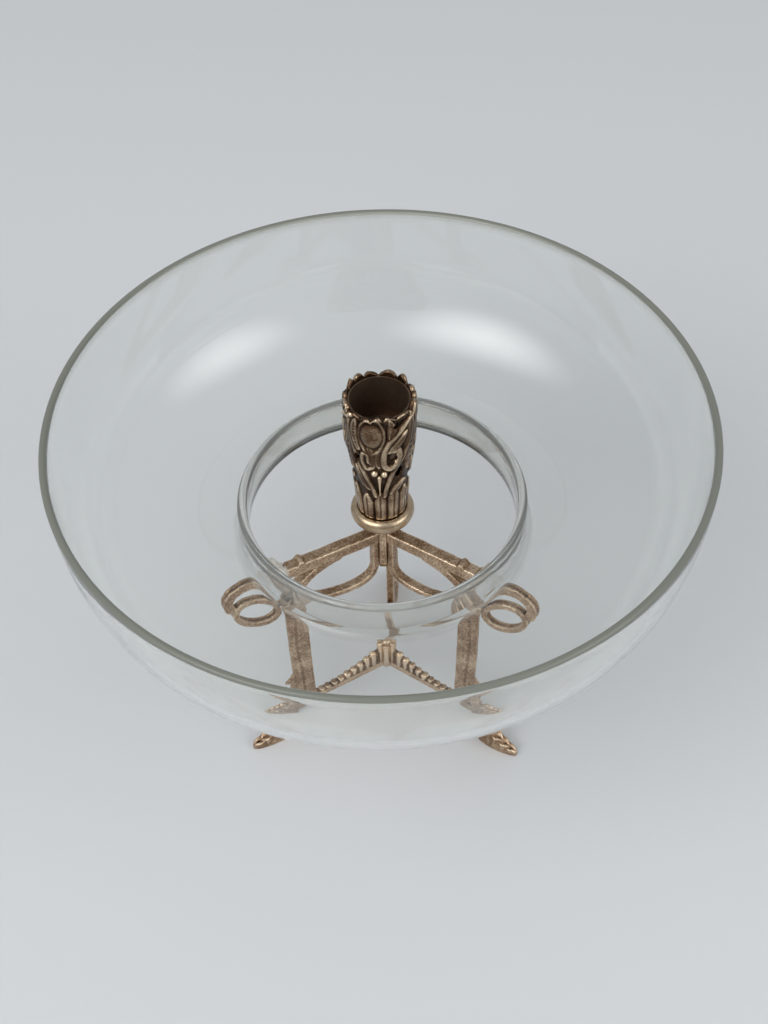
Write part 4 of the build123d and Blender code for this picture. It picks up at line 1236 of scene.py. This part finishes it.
@dataclass
class Stretcher:
    """The three-armed stretcher: sloping bars, rows of upright beads and a ribbed crown, in millimetres."""

    finishes: Finishes
    peak_z: float = 36.0
    end_top_z: float = 19.2
    arch_z: float = 20.5
    end_low_z: float = 14.2
    sweep: float = 1.5
    length: float = 36.7
    reach: float = 36.65
    width: float = 3.3
    bar_steps: int = 24
    bead_start: float = 7.0
    bead_pitch: float = 3.3
    bead_radius: float = 1.7
    bead_spread: Point = (0.94, 1.06)
    bead_foot: float = 3.0
    beads: int = 9
    arms: int = 3
    first: float = 90.0
    crown_ribs: int = 6
    crown_rib_radius: float = 1.6
    crown_radius: float = 3.2
    knob_radius: float = 2.4
    rib_segments: int = 14
    rib_steps: int = 4
    rib_toe: float = 0.7
    rib_chamfer: float = 0.6
    flange_wear: float = 0.15
    # Painted shade on the web between the beads.
    web_painted_shade: float = -0.3
    flange_edge: float = 0.2
    # Gains of the painted highlights and painted shade on the beads and the crown, besides their wear.
    bead_wear_and_light: float = 1.5
    crown_wear_and_light: float = 0.9
    wear_and_light_reach: int = 2
    sharp: float = math.radians(50)

    def edges(self, reach: float | np.ndarray) -> tuple[float | np.ndarray, float | np.ndarray]:
        """Works out where an arm begins and ends in height.

        Args:
            reach: Distance from the candle axis.

        Returns:
            Heights of the lower and the upper edge.
        """
        share = reach / self.length
        low = self.arch_z - (self.arch_z - self.end_low_z) * share**self.sweep
        return low, self.end_top_z + (self.peak_z - self.end_top_z) * (1 - share) ** self.sweep

    def bar(self) -> Shape:
        """Draws one arm along +X, with a smooth lower flange, a thinner web and a rounded back.

        Returns:
            Vertices in metres and faces.
        """
        verts: list[Triple] = []
        for k in range(self.bar_steps + 1):
            reach = self.reach * k / self.bar_steps
            low, top = self.edges(reach)
            tall = top - low
            # Shares of the width with heights above the lower edge, up one side.
            flange = [(0.5, 0.0), (0.5, self.bead_foot), (0.4, self.bead_foot + 0.4)]
            half = flange + [(0.4, 0.84 * tall), (0.24, 0.96 * tall)]
            section = half + [(0.0, tall)] + [(-y, h) for y, h in reversed(half)]
            verts += [(reach * MM, y * self.width * MM, (low + h) * MM) for y, h in section]
        n = len(section)
        faces: list[tuple[int, ...]] = []
        for k in range(self.bar_steps):
            for j in range(n):
                i = (j + 1) % n
                faces.append((k * n + j, (k + 1) * n + j, (k + 1) * n + i, k * n + i))
        last = self.bar_steps * n
        return verts, faces + [tuple(range(n)), tuple(reversed(range(last, last + n)))]

    def rib(self, radius: float, height: float) -> Shape:
        """Draws an upright rib with the foot of its domed top at the origin.

        Args:
            radius: The rib's radius.
            height: How far it reaches down.

        Returns:
            Vertices in metres and faces.
        """
        toe = (self.rib_toe * radius, -height)
        profile = [(0.0, -height), toe, (radius, -height + self.rib_chamfer), (radius, 0.0)]
        dome = np.linspace(0, math.pi / 2, self.rib_steps + 1)[1:-1]
        profile += [(radius * math.cos(t), radius * math.sin(t)) for t in dome]
        return lathe(profile + [(0.0, radius)], self.rib_segments, closed=False)

    def bead_height(self) -> float:
        """How tall the bead nearest the crown is, from the foot to where its dome begins."""
        low, top = self.edges(self.bead_start)
        return top - low - self.bead_foot

    def bead_rows(self) -> bpy.types.NodeTree:
        """Builds the tree that sets beads along the swept upper edge of every arm.

        Returns:
            A geometry tree with the inputs Geometry, Count, Start, Pitch, Arms and Material.
        """
        tree = new_tree("beads_along_arms", {"Geometry": "Geometry", "Count": "Int", "Start": "Float",
                                             "Pitch": "Float", "Arms": "Int", "Material": "Material"})
        given = add(tree, "NodeGroupInput").outputs
        index = add(tree, "GeometryNodeInputIndex").outputs[0]
        place = {0: index, 1: given["Pitch"], 2: given["Start"]}
        reach = add(tree, MATH, place, operation="MULTIPLY_ADD").outputs[0]
        share = add(tree, MATH, {0: reach, 1: self.length * MM}, operation="DIVIDE").outputs[0]
        left = add(tree, MATH, {0: 1.0, 1: share}, operation="SUBTRACT").outputs[0]
        swept = add(tree, MATH, {0: left, 1: self.sweep}, operation="POWER").outputs[0]
        arched = add(tree, MATH, {0: share, 1: self.sweep}, operation="POWER").outputs[0]
        upper = {0: swept, 1: (self.peak_z - self.end_top_z) * MM, 2: self.end_top_z * MM}
        top = add(tree, MATH, upper, operation="MULTIPLY_ADD").outputs[0]
        lower = {0: arched, 1: (self.end_low_z - self.arch_z) * MM, 2: (self.arch_z + self.bead_foot) * MM}
        low = add(tree, MATH, lower, operation="MULTIPLY_ADD").outputs[0]
        height = add(tree, MATH, {0: top, 1: low}, operation="SUBTRACT").outputs[0]
        tall = add(tree, MATH, {0: height, 1: self.bead_height() * MM}, operation="DIVIDE").outputs[0]
        least, most = self.bead_spread
        spread = {2: least, 3: most, "Seed": SEED}
        wide = add(tree, "FunctionNodeRandomValue", spread, data_type="FLOAT").outputs[1]
        size = add(tree, "ShaderNodeCombineXYZ", {"X": wide, "Y": wide, "Z": tall}).outputs[0]
        spot = add(tree, "ShaderNodeCombineXYZ", {"X": reach, "Z": top}).outputs[0]
        line = add(tree, "GeometryNodePoints", {"Count": given["Count"], "Position": spot}).outputs[0]
        bead = {"Points": line, "Instance": given["Geometry"], "Scale": size}
        row = add(tree, "GeometryNodeInstanceOnPoints", bead).outputs[0]
        end_in_ring(tree, row, given["Arms"], given["Material"], self.first)
        return tree

    def bars(self, ring: bpy.types.NodeTree) -> None:
        """Makes the three bars, with a rubbed flange and a web darkened with painted shade between the
        beads.

        Args:
            ring: The tree that repeats round the candle axis.
        """
        piece = new_object("stretcher_bars", self.bar(), self.finishes.aged)
        piece.data.transform(Matrix.Rotation(math.radians(self.first), 4, "Z"))
        repeat(piece, ring, {"Count": self.arms, "Material": self.finishes.aged})
        piece.data.set_sharp_from_angle(angle=self.sharp)
        x, y, z = read(piece, "co").T / MM
        low, _ = self.edges(np.minimum(np.hypot(x, y), self.reach))
        flange = z < low + self.bead_foot + self.flange_edge
        # The web above the flange gets painted shade.
        store(piece, "wear_and_painted_light", np.where(flange, self.flange_wear, self.web_painted_shade))
        settle(piece, STAND, Slot.AGED, "lower_stretcher")

    def bead_row(self) -> None:
        """Makes the beads along the bars."""
        shape = self.rib(self.bead_radius, self.bead_height())
        piece = new_object("stretcher_beads", shape, self.finishes.aged)
        piece.data.transform(Matrix.Translation((0, 0, -self.bead_radius / 2 * MM)))
        repeat(piece, self.bead_rows(), {"Count": self.beads, "Start": self.bead_start * MM,
                                         "Pitch": self.bead_pitch * MM, "Arms": self.arms,
                                         "Material": self.finishes.aged})
        # Painted highlights and shade on the beads.
        fit_wear_and_painted_light(piece, self.bead_wear_and_light, self.wear_and_light_reach)
        settle(piece, STAND, Slot.AGED)

    def crown(self, ring: bpy.types.NodeTree) -> None:
        """Makes the ribs and the knob where the bars meet.

        Args:
            ring: The tree that repeats round the candle axis.
        """
        depth = self.peak_z - self.arch_z
        shape = self.rib(self.crown_rib_radius, depth - self.crown_rib_radius / 2)
        ribs = new_object("stretcher_crown_ribs", shape, self.finishes.aged)
        ribs.data.transform(Matrix.Translation(Vector((0, -self.crown_radius, self.peak_z)) * MM))
        repeat(ribs, ring, {"Count": self.crown_ribs, "Material": self.finishes.aged})
        knob = new_object("stretcher_knob", self.rib(self.knob_radius, depth), self.finishes.aged)
        knob.data.transform(Matrix.Translation((0, 0, self.peak_z * MM)))
        # Painted highlights and shade on the ribs and the knob.
        for piece in (ribs, knob):
            fit_wear_and_painted_light(piece, self.crown_wear_and_light, self.wear_and_light_reach)
            settle(piece, STAND, Slot.AGED)

    def build(self) -> None:
        """Makes and dresses the stretcher."""
        ring = around_axis("ribs_round_axis")
        self.bars(ring)
        self.bead_row()
        self.crown(ring)


@dataclass
class Fasteners:
    """The hidden stud, nuts, washer and dowels, kept as drawn."""

    finishes: Finishes
    nodes: tuple[str, ...] = ("tie_stud", "socket_nut", "stud_washer", "stud_nut", "stretcher_dowels")

    def dress(self) -> None:
        """Gives each drawn fastener its finish."""
        for node in self.nodes:
            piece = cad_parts[node]
            piece.data.materials.clear()
            piece.data.materials.append(self.finishes.plain)
            log.info("%s keeps its drawn shape", node)


@dataclass(frozen=True)
class SoftBox:
    """A square lamp that fades towards its edges, in millimetres and watts."""

    name: str
    place: Triple
    size: float
    power: float
    middle: float = 4.0
    aim: Triple = (0.0, 0.0, 120.0)

    def build(self) -> None:
        """Makes the lamp and points it at the object."""
        lamp = bpy.data.lights.new(self.name, "AREA")
        lamp.size = self.size * MM
        lamp.energy = self.power
        lamp.use_nodes = True
        tree = lamp.node_tree
        spot = add(tree, "ShaderNodeNewGeometry").outputs["Parametric"]
        centre = {0: spot, 1: (0.5, 0.5, 0)}
        away = add(tree, "ShaderNodeVectorMath", centre, operation="DISTANCE").outputs["Value"]
        span = {"Value": away, "From Max": 0.5, "To Min": self.middle, "To Max": 0.0}
        fade = add(tree, MAP_RANGE, span, interpolation_type="SMOOTHSTEP").outputs["Result"]
        tree.links.new(fade, tree.nodes["Emission"].inputs["Strength"])
        holder = bpy.data.objects.new(self.name, lamp)
        holder.location = Vector(self.place) * MM
        holder.rotation_euler = (Vector(self.aim) - Vector(self.place)).to_track_quat("-Z", "Y").to_euler()
        bpy.context.scene.collection.objects.link(holder)


@dataclass
class Studio:
    """Pale floor, soft light and the camera, in millimetres."""

    floor_size: float = 16000.0
    floor_colour: str = "#d6d8d9"
    floor_roughness: float = 0.85
    air_colour: str = "#dfe3e8"
    air_strength: float = 0.62
    boxes: tuple[SoftBox, ...] = (SoftBox("key_box", (-1100, -1200, 1700), 3000, 32.0),
                                  SoftBox("fill_box", (1500, -700, 1100), 2200, 11.5))
    camera_place: Triple = (26.38, -399.13, 579.57)
    camera_right: Triple = (0.99889, 0.04311, -0.01881)
    camera_up: Triple = (-0.02002, 0.75158, 0.65933)
    lens_mm: float = 53.26
    sensor_mm: float = 36.0

    def floor(self) -> None:
        """Makes the floor."""
        s = self.floor_size / 2 * MM
        # Matt paper: pale and even, with no gleam.
        material = bpy.data.materials.new("pale_paper_floor")
        material.use_nodes = True
        shader = material.node_tree.nodes["Principled BSDF"]
        shader.inputs["Base Color"].default_value = linear(self.floor_colour)
        shader.inputs["Roughness"].default_value = self.floor_roughness
        corners = [(-s, -s, 0), (s, -s, 0), (s, s, 0), (-s, s, 0)]
        new_object("floor", (corners, [(0, 1, 2, 3)]), material)

    def lights(self) -> None:
        """Sets up the even surrounding light and the soft boxes."""
        world = bpy.data.worlds.new("studio")
        bpy.context.scene.world = world
        world.use_nodes = True
        air = world.node_tree.nodes["Background"]
        air.inputs["Color"].default_value = linear(self.air_colour)
        air.inputs["Strength"].default_value = self.air_strength
        for box in self.boxes:
            box.build()

    def camera(self) -> None:
        """Places the camera at the photograph's angle."""
        lens = bpy.data.cameras.new("view")
        lens.sensor_fit = "VERTICAL"
        lens.sensor_height = self.sensor_mm
        lens.lens = self.lens_mm
        holder = bpy.data.objects.new("view", lens)
        right = Vector(self.camera_right).normalized()
        up = Vector(self.camera_up).normalized()
        back = right.cross(up).normalized()
        up = back.cross(right)
        turn = Matrix((right, up, back)).transposed()
        holder.matrix_world = Matrix.Translation(Vector(self.camera_place) * MM) @ turn.to_4x4()
        bpy.context.scene.collection.objects.link(holder)
        bpy.context.scene.camera = holder

    def build(self) -> None:
        """Sets up the whole studio."""
        self.floor()
        self.lights()
        self.camera()
        bpy.context.scene.view_settings.view_transform = "Standard"


def main() -> None:
    """Builds every sub-assembly in order."""
    finishes = Finishes()
    Studio().build()
    GlassBowl(finishes).build()
    CastFrames(finishes).build()
    Stretcher(finishes).build()
    CandleSocket(finishes).build()
    Fasteners(finishes).dress()


if __name__ == "__main__":
    main()
